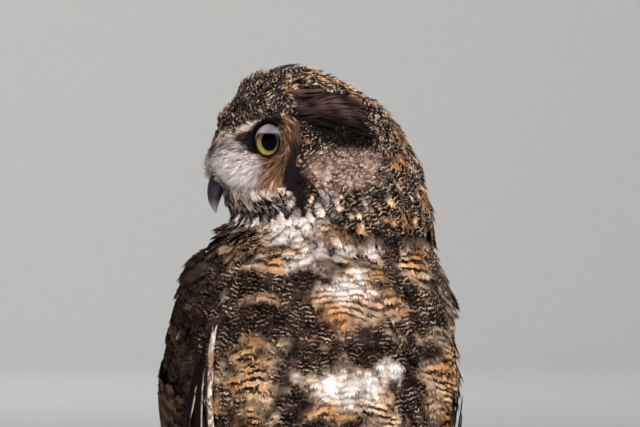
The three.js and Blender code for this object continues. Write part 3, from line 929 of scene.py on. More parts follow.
# Every painter takes places, their feathers' roots, the places on the feather (u along, v across)
# and each feather's own oddness from -1 to 1. It returns the ground colour, the marks' colour,
# the bars' phase and strength, and the strength of fine wavy marks.
def trunk_paint(p, root, u, v, odd):
    """Breast, flanks, belly and back."""
    angle = body_angle(p) + 5 * cloud(p, 11, 4)
    side = np.abs(angle)
    high = p[..., 2] / MM + 5 * cloud(p, 13, 14)
    blotch = step(cloud(p, 13, 61), 0.3, 0.9)
    front = 1 - step(side, 68, 88)
    mottle, quick = cloud(p, 17, 3), cloud(p, 6, 6)
    white, warm = field(PALE_FIELDS, angle, high), field(WARM_FIELDS, angle, high)
    white = within(white * (1 + 0.3 * quick + 0.2 * odd))
    belly = 1 - step(high, 232, 256)
    deep = field(DARK_FIELDS, angle, high)
    dark = 0.54 + 0.25 * mottle + 0.17 * quick + 0.9 * deep - 0.8 * white - 0.65 * warm
    tip = hump((u - 0.92) / 0.3, v / 0.9)
    dark = within(dark + 0.2 * odd + 0.18 * (tip - 0.3) - 0.1 * belly)
    gold = within(0.46 + 0.4 * cloud(p, 21, 8) + 0.25 * odd + 0.4 * warm - 0.8 * white)
    pale = tint(tint(CREAM, WHITE, within(white + 0.2 * quick)), ORANGE, gold)
    pale = tint(pale, BROWN, within(0.03 + 0.25 * cloud(p, 4, 7) - 0.4 * white - 0.2 * warm, 0.5))
    blot = step(dark, 0.34, 0.62)
    soft = blotch * (1 - white) * (1 - warm)
    ground = tint(pale, tint(DARK, BROWN, within(0.15 + 0.4 * quick - 0.4 * deep, 0.6)), blot)
    ground = tint(ground, tint(DARK, rgb(70, 50, 48), 0.5), soft)
    light = np.maximum(white, warm)
    # Painted shade in the crevices between clumps of feathers: it darkens the ground and the marks, less on
    # pale and warm parts.
    clump_shadow = (1 - step(cloud(p, 9, 91) + 0.4 * cloud(p, 4, 92), -0.9, -0.1)) * (1 - 0.9 * light)
    ground = ground * (1 - 0.78 * clump_shadow)[..., None]
    back = 1 - front
    behind = step(side, 95, 125)
    # Back colour: on the side just behind the breast, where the wing lies over the flank, it stays near DARK
    # as painted shade under the wing; further back it turns browner, with buff streaks.
    back_with_underwing_shade = tint(DARK, BROWN, within(0.35 * behind + 0.3 * cloud(p, 14, 11) - 0.1))
    streak = step(cloud(root, 20, 12) + 0.6 * odd, 0.6, 1.0) * step(np.abs(v), 0.2, 0.7)
    back_with_underwing_shade = tint(back_with_underwing_shade, BUFF, 0.5 * behind * streak)
    ground = tint(ground, back_with_underwing_shade, back)
    line = tint(DARK, tint(BUFF, CREAM, within(0.6 + 0.6 * odd + 0.4 * quick)), blot * front)
    line = tint(line * (1 - 0.72 * clump_shadow)[..., None], tint(BROWN, BUFF, behind), back * 0.7)
    worms = within(0.35 + 0.4 * blot - 0.5 * white - 0.5 * deep) * (1 - 0.85 * soft) * front
    worms = worms + (0.2 + 0.2 * behind) * back
    bars = within(0.75 + 0.25 * warm + 0.2 * belly - 0.55 * white) * (1 - blot) * (1 - soft)
    phase = (p[..., 2] / MM + 0.12 * side + 3.0 * cloud(p, 24, 15)) / BAR_PITCH + 0.16 * odd + 0.3 * v**2
    over_edge = p[..., 2] / MM - hood_edge(body_angle(p))
    share = step(over_edge / (1 + 5 * back), -2.5, 2.5)
    numbers = (phase, np.maximum(bars * front, 0.3 * back), worms)
    hood, hood_line, *hood_numbers = head_paint(p, root, u, v, odd)
    phase, bars, worms = (between(a, b, share) for a, b in zip(numbers, hood_numbers))
    shadow = 0.85 * hump((over_edge - 1) / 4.5) * step(angle, -24, -10) * front
    ground = tint(tint(ground, hood, share), BLACK, shadow)
    root_shade = 0.3 + 0.55 * np.maximum(white, warm * (1 - share))
    ground = ground * between(root_shade, 1.1, step(u + 0.1 * odd, 0.35, 0.85))[..., None]
    return ground, tint(line, hood_line, share), phase, bars, worms * (1 - shadow)


def head_paint(p, root, u, v, odd):
    """Crown, nape, cheeks and hood: dark, with small pale flecks, and a white throat."""
    ahead, above = face_place(folded(p))
    angle = body_angle(p)
    patch, quick = cloud(root, 15, 21), cloud(p, 5, 23)
    cheek = step(hump((ahead + 40) / 38, (above + 21) / 19) + 0.1 * quick, 0.3, 0.8)
    shade = step(hump((ahead + 40) / 27, (above - 5 - 0.2 * (ahead + 40)) / 11) + 0.12 * quick, 0.25, 0.6)
    # Painted shadow: the hollow behind the lower part of the face is painted black.
    shaded_hollow = hump((ahead + 8) / 9, (above + 31) / 15)
    patchy = step(cloud(root, 7, 25) + 0.3 * odd, 0.0, 0.7)
    silver = hump((ahead + 36) / 20, (above + 35) / 15) * patchy * (1 - shaded_hollow)
    ridge = step(above, 37, 44) * step(-ahead, 12, 30)
    nape = step(-ahead, 50, 80)
    scallop = step(((u - 0.55) / 0.45) ** 2 + (v / 0.95) ** 2, 0.35, 0.7) * step(u, 0.35, 0.6)
    throat = hump((above + 56) / 11) * (1 - step(angle, -20, 0)) * step(0.5 * quick + 0.15 * odd, -1.1, -0.3)
    gap = hump((above + 49) / 3.5) * step(ahead, -14, 4)
    pale = 0.12 + 0.10 * patch - 0.1 * cheek - 0.15 * silver + 0.16 * ridge + 0.1 * nape + 0.75 * throat
    fleck = between(hump((u - 0.84) / 0.2, v / 0.9), 0.8 * scallop, nape)
    fleck = fleck * (1 - 0.5 * hump((ahead + 36) / 24, (above + 35) / 18))
    pale = pale + 0.14 * quick + 0.24 * odd + 0.34 * fleck - 0.9 * shade - 0.6 * shaded_hollow
    spot = step(pale, 0.42, 0.6)
    warm = 0.1 + 0.35 * patch + 0.35 * cloud(root, 6, 24) + 0.4 * ridge + 0.25 * nape + 0.3 * odd
    warm = within(warm - 0.7 * silver - throat - 0.2 * cheek)
    light = tint(tint(CREAM, WHITE, throat), ORANGE, warm)
    light = tint(light, tint(GREY, CREAM, 0.45), within(0.6 * cheek, 0.8) * (1 - throat))
    # black gathers painted shade (the hollow, and the shadow under the ear tuft) and the dark line under the
    # chin.
    black = within(shaded_hollow + 0.95 * shade + gap)
    base = tint(DARK, rgb(60, 44, 43), within(0.1 + 0.4 * quick + 0.4 * step(ahead, -20, 20)))
    fluff = within(0.45 + 0.35 * odd + 0.45 * cloud(root, 6, 27))
    base = tint(base, tint(rgb(158, 130, 116), rgb(80, 60, 54), fluff), 0.85 * cheek)
    base = tint(base, rgb(196, 184, 186), 0.8 * silver)
    ground = tint(tint(base, BLACK, black), light, spot * 0.95)
    pick = within(0.25 + 0.4 * patch + 0.6 * odd) * (1 - 0.6 * cheek)
    line = tint(tint(tint(CREAM, GREY, 0.25), BUFF, pick), rgb(196, 170, 156), 0.7 * cheek)
    line = tint(line, DARK, step(spot, 0.45, 0.7))
    worms = (0.7 - 0.3 * throat) * (1 - black)
    # Painted shade between clumps of feathers, darkening the ground and the marks.
    head_clump_shadow = (1 - step(cloud(p, 6, 93), -0.9, -0.1)) * (1 - 0.5 * cheek) * (1 - throat)
    root_shade = 0.5 + 0.4 * throat
    ground = ground * (between(root_shade, 1.1, step(u, 0.3, 0.8)) * (1 - 0.6 * head_clump_shadow))[..., None]
    line = line * (1 - 0.45 * head_clump_shadow)[..., None]
    return ground, line, 0.0, 0.0, worms


def face_paint(p, root, u, v, odd):
    """Face: black round the eye, tawny behind it, white before it, and a black rim, with painted shadow in
    the hollow behind the rim, over the brow and along the lower edge of the white.
    """
    ahead, above = face_place(0.5 * (root + p))
    ring = from_eye(0.4 * root + 0.6 * p)
    rim_at = -3.5 + 5 * hump((above + 25) / 13)
    rim = (1 - step(ahead - rim_at, 0, 2.6)) * (0.5 + 0.5 * step(-above + 6 * odd, -8, 8))
    # The second part of the rim is painted shadow in the hollow behind its lower half.
    rim = np.maximum(rim, hump((ahead - rim_at + 4) / 5, (above + 27) / 14))
    patch = step(hump((ahead - 18) / 13, (above - 2.5) / 4.8) + 0.08 * odd, 0.28, 0.5)
    # Painted shadow of the brow, above the front of the eye.
    brow_shadow = step(hump((ahead - 8) / 6.5, (above - 14) / 4.5), 0.3, 0.6)
    front = step(ahead, 3, 9) * step(above, -13, -7)
    around = 1 - step(ring - 5.5 * front, 10.4, 11.8)
    brow = hump((above - brow_line(ahead) + 2) / 3.0) * step(ahead, 12, 18)
    tan = 1 - step(ahead + 0.1 * above, 10, 19)
    chin = 1 - step(above, -36, -32)
    gap = 1 - step(above, -49, -46)
    streak = cloud(p * [1, 1, 0.25], 2.0, 51)
    upper = hump((above + 2) / 7) * step(ahead, 15, 26)
    white = tint(WHITE, GREY, within(0.06 + 0.35 * odd + 0.8 * upper + 0.45 * streak, 0.95))
    white = tint(white, DARK, step(odd, 0.1, 0.5) * (0.3 + 0.6 * upper))
    tawny = tint(rgb(128, 92, 68), tint(CREAM, BUFF, 0.5), within(0.5 * streak + 0.4 * odd, 0.85))
    tawny = tint(tawny, tint(BROWN, DARK, 0.5), step(-odd + 0.4 * streak, -0.2, 0.5) * 0.9)
    # Painted shadow line along the lower edge of the white face, above the chin.
    shadow_line = hump((above + 32) / 2.2) * step(ahead, 2, 10)
    ground = tint(tint(white, BROWN, 0.55 * shadow_line), tawny, tan)
    ground = tint(ground, tint(CREAM, WHITE, 0.3), brow * 0.9)
    tipped = within(step(u, 0.6, 0.78) * step(odd, -0.8, -0.3) + step(odd, 0.45, 0.6))
    ground = tint(ground, tint(IVORY, BLACK, tipped), chin)
    dark = within(np.maximum(rim, around) + 0.95 * patch + 0.9 * brow_shadow + 0.8 * gap)
    ground = tint(ground, tint(BLACK, rgb(44, 36, 40), 0.4), dark)
    return ground, tint(DARK, BROWN, 0.3), 0.0, 0.0, 0.0


def wing_paint(p, root, u, v, odd):
    """Wing coverts: dark brown deepened almost to black, partly as painted shade, finely marked, with a few
    pale spots on the outer webs.
    """
    # Nearly black: the coverts' own dark brown, deepened as painted shade.
    base = tint(tint(BLACK, DARK, 0.2), BROWN, within(0.1 * cloud(p, 15, 31)))
    spot = step(odd, 0.76, 0.8) * step(hump((u - 0.88) / 0.11, (v - 0.4) / 0.45), 0.2, 0.7)
    ground = tint(base, CREAM, spot)
    line = tint(tint(BROWN, BUFF, 0.35), DARK, step(spot, 0.4, 0.6))
    return ground, line, u * 3.5 + 0.25 * np.abs(v) + 0.3 * odd, 0.1, 0.2


def great_paint(p, root, u, v, odd):
    """Greater coverts: like the small ones, but barred and without spots."""
    ground, line, phase, _, worms = wing_paint(p, root, u, v, 0.7 * odd)
    return tint(ground, BROWN, 0.15), tint(line, BUFF, 0.15), 2 * phase, 0.35, worms


def quill_paint(p, root, u, v, odd):
    """Flight feathers: dark bars over brown, the outer webs mottled and pale at the edge."""
    web = step(-v, 0.1, 0.7)
    ground = tint(tint(DARK, BROWN, 0.75), BUFF, within(0.1 + 0.3 * web + 0.2 * cloud(p, 6, 33), 0.6))
    ground = tint(ground, CREAM, 0.55 * step(-v, 0.86, 0.98) * step(odd, -0.2, 0.4))
    ground = tint(ground, BROWN, hump(v / 0.05))
    return ground, tint(BLACK, DARK, 0.7), u * 7.5 + 0.15 * np.abs(v) + 0.1 * odd, 0.95, 0.3


def edging_paint(p, root, u, v, odd):
    """The long pale-edged feathers along the front of the folded wing."""
    outer = v * np.sign(root[..., 0])
    mottle = cloud(p, 5, 37)
    wide = step(odd, 0, 0.5)
    start = 0.86 - 1.0 * wide
    pale = step(outer - 0.1 * mottle, start, start + 0.1) * (1 - wide * 0.7 * step(mottle, 0.2, 0.6))
    pale = np.maximum(pale, wide * hump((u - 0.06) / 0.1))
    light = tint(IVORY, BUFF, within(wide * (0.5 + 0.8 * cloud(p, 9, 38))))
    ground = tint(tint(BLACK, DARK, 0.4), light, pale)
    return ground, tint(DARK, BROWN, 0.4), u * 15 + mottle, 0.7 * wide, 0.3 * wide


def tail_paint(p, root, u, v, odd):
    """Tail: dark wavy bars over mottled buff and brown."""
    ground = tint(tint(BUFF, BROWN, 0.45), DARK, within(0.25 + 0.3 * cloud(p, 7, 35), 0.7))
    ground = tint(ground, DARK, hump(v / 0.05))
    return ground, tint(BLACK, DARK, 0.8), u * 8.5 + 0.1 * np.abs(v), 0.95, 0.4


def tuft_side(points):
    """How far a place lies below the middle line of the left tuft, in half-widths."""
    start, end, _ = tuft_line("left")
    share = within((points[..., 0] - start[0]) / (end[0] - start[0]))
    return (tint(start, end, share) - points)[..., 2] / (13 * MM)


def tuft_paint(p, root, u, v, odd):
    """Ear tufts: smooth dark brown, with painted shade blackening the lower edge."""
    # Painted shade along the tuft's lower edge, where it lies over the head.
    low = step(tuft_side(p) + 0.2 * odd, -0.5, 0.5)
    ground = tint(DARK, rgb(84, 63, 60), within(0.5 + 0.2 * odd + 0.5 * cloud(p, 8, 65) - 0.5 * low))
    ground = tint(ground, BLACK, 0.9 * low)
    return ground, tint(BROWN, BUFF, 0.3), 0.0, 0.0, 0.0


def leg_paint(p, root, u, v, odd):
    """Thighs, shanks and toes: warm buff with faint bars."""
    low = 1 - step(p[..., 2] / MM, 20, 90)
    ground = tint(CREAM, BUFF, within(0.55 + 0.4 * cloud(p, 16, 41) - 0.3 * low))
    ground = tint(ground, GREY, 0.15 * (1 + odd))
    phase = (p[..., 2] / MM + 1.5 * cloud(p, 18, 42)) / LEG_BAR_PITCH + 0.2 * odd
    return ground, BROWN, phase, 0.28 * (1 - low), 0.12


PAINTERS = {
    "head": head_paint, "facial_disc": face_paint, "neck": trunk_paint, "trunk": trunk_paint,
    "wing": wing_paint, "thigh": leg_paint, "tarsus": leg_paint, "foot": leg_paint,
}


def paint_skin(skin):
    """Gives the skin the same markings as the feathers over it."""
    p = skin.points
    colours, marks = np.ones((2, len(p), 4)), np.zeros((len(p), 3))
    u, v = np.full((1, 1), 0.8), np.full((1, 1), 0.3)  # the place on a feather that is copied
    for kind, painter in PAINTERS.items():
        at = skin.kinds == kind
        here = p[at][:, None]
        made = painter(here, here, u, v, np.zeros((len(here), 1)))
        for k, shade in enumerate((0.8, 1)):
            colours[k, at, :3] = np.broadcast_to(made[k], here.shape)[:, 0] * shade
        for k in range(3):
            marks[at, k] = np.broadcast_to(made[2 + k], (len(here), 1))[:, 0]
    turn = np.radians(body_angle(p)) * 100
    vane = np.stack([(CROWN - p[:, 2]) / MM, turn, np.ones(len(p))], 1)
    for name, values in zip(LAYERS, (*colours, marks, vane)):
        set_points(skin.obj, name, values)


# ---------------------------------------------------------------- the coat, part by part
def puff(places):
    """Extra lift in mm where the coat stands out: the forehead, and the hood's lower edge."""
    angle, high = body_angle(places), places[:, 2] / MM
    hood = hump((high - hood_edge(angle) - 5) / 8) * step(angle, -25, -5) * (1 - step(angle, 30, 60))
    return 7.5 * forehead(places) + 4.5 * hood


def make_coat(skin):
    """Lays small feathers all over the skin, as one piece for each part of the body."""
    ways = lie_of_coat(skin)
    face, share, place = scatter(skin, 7)
    corners = skin.triangles[face]

    def at(values):
        """Numbers of the skin's points, at the roots."""
        return np.einsum("nk,nkc->nc", share, values[corners])

    root_ways, root_normals, coat = unit(at(ways)), unit(at(skin.normals)), at(skin.coat)
    names, kinds = skin.names[corners[:, 0]], skin.kinds[corners[:, 0]]
    rng = np.random.default_rng(5)
    soft = [leaf(rng, 5, 28) for _ in range(10)]
    small = [leaf(rng, 4, 12, 0.66, 0.12, 2) for _ in range(12)]
    hair = [wisp(rng) for _ in range(8)]
    close = [leaf(rng, 7, 20, 0.86, 0.03) for _ in range(6)]
    angle = body_angle(place)
    ahead, above = face_place(folded(place))
    chin = above < -33
    scalp, crown = (kinds == "head") & ~under_tuft(place), place[:, 2] > middle("head")[2]
    trunk, high, front = kinds == "trunk", place[:, 2] > TRUNK_MIDDLE[2], np.abs(angle) < 85
    parts = [
        ("crown_feathers", scalp & crown, small, head_paint, "head_feathers"),
        ("cheek_feathers", scalp & ~crown, small, head_paint, "head_feathers"),
        ("hood_feathers", kinds == "neck", small, trunk_paint, "head_feathers"),
        ("disc_feathers_left", (names == "facial_disc_left") & ~chin, hair, face_paint, "face_feathers"),
        ("disc_feathers_right", (names == "facial_disc_right") & ~chin, hair, face_paint, "face_feathers"),
        ("chin_feathers", (kinds == "facial_disc") & chin, small, face_paint, "face_feathers"),
        ("breast_feathers", trunk & front & high, soft, trunk_paint, "body_feathers"),
        ("belly_feathers", trunk & front & ~high, soft, trunk_paint, "body_feathers"),
        ("back_feathers", trunk & ~front, soft, trunk_paint, "body_feathers"),
        ("covert_feathers_left", names == "wing_left", close, wing_paint, "wing_feathers"),
        ("covert_feathers_right", names == "wing_right", close, wing_paint, "wing_feathers"),
        ("thigh_feathers", kinds == "thigh", soft, leg_paint, "leg_feathers"),
        ("shank_feathers", kinds == "tarsus", hair, leg_paint, "leg_feathers"),
        ("toe_feathers", kinds == "foot", hair, leg_paint, "leg_feathers"),
    ]
    for seed, (name, chosen, templates, painter, slot) in enumerate(parts):
        own_rng = np.random.default_rng(100 + seed)
        depth, _, length, half = coat[chosen].T * MM
        length = length * own_rng.uniform(0.86, 1.14, len(depth))
        cling = 1.0
        if painter is face_paint:
            before, over = ahead[chosen], above[chosen]
            length = length * (0.4 + 0.95 * step(from_eye(place[chosen]), 13, 30))
            shorter_chin = chin[chosen] * (0.1 + 0.4 * (1 - step(before, 4, 14)))
            length = length * (1 - 0.4 * step(over, 4, 10)) * (1 - shorter_chin)
            cling = 1 - 0.75 * step(before, 14, 26) * (1 - step(over, 2, 8))
        if name == "hood_feathers":
            length = length * (1 - 0.25 * (1 - step(angle[chosen], -10, 20)))
        depth = depth + puff(place[chosen]) * MM
        roots = place[chosen], root_ways[chosen], root_normals[chosen]
        centre, up = laid(skin, *roots, length, depth, own_rng, cling)
        half = half * own_rng.uniform(0.85, 1.15, len(depth))
        feathers = Feathers(name, centre, up, half, 200 + seed)
        feathers.build(templates, painter, slot, soft=0.45 if templates is soft else 0.75)


# ---------------------------------------------------------------- ear tufts
def tuft_line(name):
    """Where a tuft starts and ends, and the way across it."""
    node = f"ear_tuft_{name}"
    start, end = farthest(node, (-1, 0, 0)), farthest(node, (1, 0, 0.4))
    if name == "left":
        end = start + (end - start) * 0.86 - np.array([0, 0, 3]) * MM
        start = start - np.array([4, 0, 7]) * MM
    else:
        start, end = start - np.array([7, 0, 0]) * MM, end - np.array([5, 0, 0]) * MM
    return start, end, np.cross(unit(end - start), np.array([0, -SIDES[name] * 0.62, 0.78]))


def under_tuft(places):
    """True where the left ear tuft lies close over the head."""
    start, end, _ = tuft_line("left")
    way = unit(end - start)
    along = (places - start) @ way
    off = np.linalg.norm(places - start - along[:, None] * way, axis=1)
    return (off < 16 * MM) & (along > 2 * MM) & (along < 0.75 * np.linalg.norm(end - start))


def make_tuft(skin, name):
    """Long dark feathers that lie back over the side of the crown, or rise from it and bend back."""
    flat = name == "left"
    rng = np.random.default_rng(61 if flat else 62)
    start, end, across = tuft_line(name)
    count, spread, wide = (300, 0.5, 20 * MM) if flat else (26, 0.12, 4 * MM)
    share = rng.uniform(0, spread, count)
    side = rng.uniform(-1, 1, count)
    roots = start + (end - start) * share[:, None] + across * (side * wide * (0.6 + share))[:, None]
    roots, normals = skin.nearest(roots)
    reach = np.linalg.norm(end - start)
    if flat:
        ways = tangent(unit(end - start - across * (side * 12 * MM)[:, None]), normals)
        length, depth = reach * rng.uniform(0.3, 0.55, count), rng.uniform(3.5, 6.5, count) * MM
    else:
        ways = unit(np.array([0.60, 0, 0.80]) - across * (side * 0.12)[:, None])
        length, depth = reach * rng.uniform(0.66, 0.96, count), np.zeros(count)
        roots = roots - normals * MM
    centre, up = laid(skin, roots, ways, normals, length, depth, rng, 1.0 if flat else 0.0)
    if not flat:
        bow = np.sin(np.linspace(0, math.pi, LEVELS)) * 4 * MM
        centre = centre + bow[None, :, None] * np.array([-0.5, 0, 0.85])
        up = np.broadcast_to(np.array([-0.5, -0.3, 0.85]), centre.shape)
    vanes = [leaf(rng, 9, 34, 0.7, 0.05, 6, 0.35) for _ in range(5)]
    tuft = Feathers(f"tuft_feathers_{name}", centre, up, rng.uniform(1.3, 2.4, count) * MM, 63, 0.1)
    tuft.build(vanes, tuft_paint, "tuft_feathers", f"ear_tuft_{name}", camber=0.12, soft=0.9)


# ---------------------------------------------------------------- wings
LONG_LEVELS = 9  # places along a long feather where its middle line is worked out


def wing_plan(name):
    """Where a folded wing starts, its directions along and forwards, and its length, side on."""
    top = farthest(f"wing_{name}", (0, 0, 1))
    tip = farthest(f"wing_tip_{name}", (0, 0, -1))
    along = (tip - top) * [0, 1, 1]
    length = np.linalg.norm(along)
    along = along / length
    return top, along, np.array([0, along[2], -along[1]]), length


def terms(s, w):
    """The terms of a smooth cubic face over two directions."""
    return np.stack([s**0 * w**0, s, w, s * s, s * w, w * w, s**3, s * s * w, s * w * w], -1)


def wing_lines(name, fit, root, tip, bow, depth):
    """Middle lines of feathers over a wing's outer face, given in shares of its length.

    root and tip are (along, forwards) for each feather; depth is how far in from the face each lies.
    """
    top, along, ahead, length = wing_plan(name)
    t = np.linspace(0, 1, LONG_LEVELS)
    s, w = (between(a[:, None], b[:, None], t) for a, b in zip(root, tip))
    w = w + bow * np.sin(math.pi * t)

    def surface(s, w):
        """Places on the wing's outer face."""
        place = top * [0, 1, 1] + (s[..., None] * along + w[..., None] * ahead) * length
        place[..., 0] = terms(s, w) @ fit
        return place

    delta = 0.01
    place = surface(s, w)
    up = unit(np.cross(surface(s + delta, w) - place, surface(s, w + delta) - place))
    up *= np.sign(up[..., :1]) * SIDES[name]
    return place - up * (np.broadcast_to(depth, len(root[0])) * MM)[:, None, None], up


def wing_fit(name):
    """The wing's outer face as a smooth function of its two directions."""
    top, along, ahead, length = wing_plan(name)
    outward = 0.35  # least sideways part of an outer face's direction
    places = np.array([
        face.center
        for node in (f"wing_{name}", f"wing_tip_{name}")
        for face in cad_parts[node].data.polygons
        if face.normal.x * SIDES[name] > outward
    ])
    s, w = (places - top) @ along / length, (places - top) @ ahead / length
    return np.linalg.lstsq(terms(s, w), places[:, 0], rcond=None)[0]


def make_wing(name):
    """Twenty flight feathers of a folded wing, with two rows of greater coverts over them."""
    fit = wing_fit(name)
    rng = np.random.default_rng(71)
    count = 20  # ten feathers of the forearm, then ten of the hand
    share = np.linspace(0, 1, count)
    bends = (0, 0.45, 0.8, 1)
    root = (0.38 + 0.12 * share, -0.10 + 0.30 * share)
    tips = (0.66, 0.80, 1.0, 0.86), (-0.085, -0.05, 0.0, 0.10)
    tip = [np.interp(share, bends, places) for places in tips]
    centre, up = wing_lines(name, fit, root, tip, 0.015, 0.4 + 0.42 * np.arange(count))
    half = np.interp(share, (0, 0.5, 1), (17, 15, 11)) * MM
    quills = Feathers(f"flight_feathers_{name}", centre, up, half, 72, 0.0, 0.045)
    blades = [blade(rng) for _ in range(4)]
    quills.build(blades, quill_paint, "wing_feathers", f"wing_tip_{name}", camber=0.1, soft=0.3)
    rows = []
    for count, start, end, low, out in ((15, 0.34, 0.60, -0.13, -0.6), (13, 0.26, 0.50, -0.14, -1.6)):
        share = np.linspace(0, 1, count)
        w = between(low, 0.25, share)
        root = (start + rng.normal(0, 0.006, count), w)
        tip = (end + 0.02 * np.sin(3 * share) + rng.normal(0, 0.008, count), w * 0.82)
        rows.append(wing_lines(name, fit, root, tip, 0.01, out + 2 * np.arange(count) / count))
    centre, up = (np.concatenate(part) for part in zip(*rows))
    greater = Feathers(f"greater_coverts_{name}", centre, up, np.full(len(up), 12.5 * MM), 73, 0.03)
    vanes = [leaf(rng, 12, 40, 0.9, 0.02, 5) for _ in range(5)]
    greater.build(vanes, great_paint, "wing_feathers", camber=0.12, soft=0.3)


def make_edging(skin, name):
    """Long pale-edged feathers that lie along the front of a folded wing, over the flank."""
    right = name == "right"
    back, lower = (0, 0) if right else (6, 42)  # the left ones start further back and lower down
    turns = (np.array([[62, 67], [65, 74], [68, 79]]) + back) * SIDES[name]
    heights = np.array([[300, 190], [292, 205], [280, 225]]) - lower
    t = np.linspace(0, 1, LONG_LEVELS)
    turn, high = (between(ends[:, :1], ends[:, 1:], t) for ends in (turns, heights))
    turn = np.radians(turn)
    away = np.stack([np.sin(turn), -np.cos(turn), turn * 0], -1)
    beyond = 0.16  # outside the body
    places = TRUNK_MIDDLE * [1, 1, 0] + away * beyond
    places[..., 2] = high * MM
    for _ in range(6):  # slides each place in or out until it meets the skin
        place, up = skin.nearest(places.reshape(-1, 3))
        reach = np.sum((place.reshape(places.shape) - places) * away, -1, keepdims=True)
        places = places + away * reach
    up = up.reshape(places.shape)
    lift = np.array([8.0, 10.5, 11.0])[:, None, None] * MM
    half = np.array([4.4, 4.2, 4.0]) * MM
    long = Feathers(f"edging_feathers_{name}", places + up * lift, up, half, 76, 0.0, 0.1)
    long.odd = np.array([0.9, -0.4, -0.8] if right else [-0.2, -0.6, -0.8])  # 0.9 is broad and mottled
    rng = np.random.default_rng(75)
    blades = [blade(rng, widest=0.4) for _ in range(2)]
    long.build(blades, edging_paint, "wing_feathers", camber=0.25, soft=0.4)


# ---------------------------------------------------------------- tail
def make_tail():
    """Twelve barred feathers, the middle pair on top, with soft coverts over and under their roots."""
    points = node_points("tail")
    height, near = points[:, 2], 12 * MM
    tip = points[height < height.min() + near].mean(0) * [0, 1, 1]
    root = points[height > height.max() - near].mean(0) * [0, 1, 1]
    along = unit(tip - root)
    top = np.array([0, -along[2], along[1]])
    count = 12
    rank = np.arange(count) - (count - 1) / 2
    outer = np.abs(rank)

    def lines(*values):
        """Middle lines fanned out from the tail's root: offsets, angles, lengths and heights."""
        t = np.linspace(0, 1, LONG_LEVELS)[None, :, None]
        side, fan, reach, lift = (v[:, None, None] for v in np.broadcast_arrays(*values))
        place = root + along * (reach * t)
        place = place + np.array([1.0, 0, 0]) * (side + np.tan(fan) * reach * t)
        place = place + top * (lift * (1 - 0.5 * t) - 4 * MM * t * t)
        return place, np.broadcast_to(top, place.shape).copy()

    rng = np.random.default_rng(81)
    length = np.linalg.norm(tip - root) + 6 * MM - 1.9 * MM * outer
    centre, up = lines(rank * 2.2 * MM, np.radians(0.75 * rank), length, (3 - 1.15 * outer) * MM)
    tail = Feathers("tail_feathers", centre, up, np.full(count, 16.5 * MM), 82, 0.0, 0.07)
    blades = [blade(rng, widest=0.75, narrow=0.45) for _ in range(4)]
    tail.build(blades, tail_paint, "wing_feathers", "tail", camber=0.12, soft=0.3)
    for face, name, painter in ((1, "uppertail_coverts", wing_paint), (-1, "undertail_coverts", leg_paint)):
        count = 60
        side = rng.uniform(-1, 1, count)
        start = rng.uniform(-0.02, 0.035, count)
        centre, up = lines(side * 24 * MM, np.radians(3 * side), 55 * MM, face * (9 - 4 * np.abs(side)) * MM)
        centre = centre + (along * start[:, None])[:, None]
        coverts = Feathers(name, centre, up * face, np.full(count, 9.5 * MM), 83 + face, 0.1)
        coverts.build([leaf(rng, 6, 26) for _ in range(5)], painter, "body_feathers")


# ---------------------------------------------------------------- eyes, bill and claws
def smooth_copy(node, name, material, slot):
    """A rounded copy of a solid, in its place."""
    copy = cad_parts[node].copy()
    copy.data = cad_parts[node].data.copy()
    copy.name = copy.data.name = name
    copy.hide_render = False
    bpy.context.scene.collection.objects.link(copy)
    copy.parent = None
    for key in list(copy.keys()):
        del copy[key]
    copy.modifiers.new("weld", "WELD").merge_threshold = 0.02 * MM
    fine = copy.modifiers.new("fine", "SUBSURF")
    fine.levels = fine.render_levels = 2
    settle(copy)
    copy.data.polygons.foreach_set("use_smooth", np.ones(len(copy.data.polygons), bool))
    return own(copy, material, slot, node)


def horn_material(name, dark, pale, tip_height):
    """Dark horn with a faint grain, paler towards a tip at this height."""
    graph = Graph(name, Roughness=0.36, Specular_IOR_Level=0.22)
    place = graph.place()
    grain = graph.noise(place, 160.0, 4.0)
    tip = graph.ramp(graph.split(place)[2], tip_height + 12 * MM, tip_height)
    colour = graph.blend(tip * 0.8, dark, pale)
    colour = graph.blend(grain * 0.08, colour, pale)
    graph.bump(grain, 0.15, 0.4 * MM)
    return graph.finish(colour)


def make_bill_and_claws():
    """Horn for both halves of the bill and for the eight claws."""
    bill = horn_material("bill_horn", rgb(13, 16, 27), rgb(150, 140, 146), BILL_TIP[2])
    for part in ("upper", "lower"):
        smooth_copy(f"bill_{part}", f"mandible_{part}", bill, "bill")
    claw = horn_material("claw_horn", rgb(24, 22, 24), rgb(70, 66, 66), 0.0)
    for side in SIDES:
        for toe in TOES:
            smooth_copy(f"claw_{side}_{toe}", f"talon_{side}_{toe}", claw, "claw")


IRIS_RADIUS = 10.6 * MM
PUPIL_SHARE = 0.61  # of the iris's radius
PUPIL_BACK = 0.11  # how far the pupil sits behind the iris's middle, in the same measure


def iris_material():
    """Colours by the distance from the eye's axis, in iris radii, kept on the mesh as spot."""
    graph = Graph("eye_iris", Roughness=0.6, Specular_IOR_Level=0.0)
    x, y, _ = graph.split(graph.attribute("spot", "Vector"))
    radius = graph.maths("SQRT", x * x + y * y)
    rear = x + PUPIL_BACK
    hole = graph.maths("SQRT", rear * rear + y * y)
    turn = graph.maths("ARCTAN2", y, x)
    iris = graph.noise(graph.join(turn * 7.0, radius * 1.5, 0.0), 1.0, 3.0)
    iris = graph.blend(iris, rgb(88, 78, 28), rgb(126, 115, 56))
    for distance, low, high, colour in (
        (radius, 0.84, 1.0, rgb(52, 50, 22)),
        (hole, PUPIL_SHARE + 0.10, PUPIL_SHARE, rgb(88, 82, 22)),
        (hole, PUPIL_SHARE + 0.03, PUPIL_SHARE, (0.002, 0.002, 0.003)),
        (radius, 0.99, 1.02, rgb(14, 12, 12)),
    ):
        iris = graph.blend(graph.ramp(distance, low, high), iris, colour)
    return graph.finish(iris)


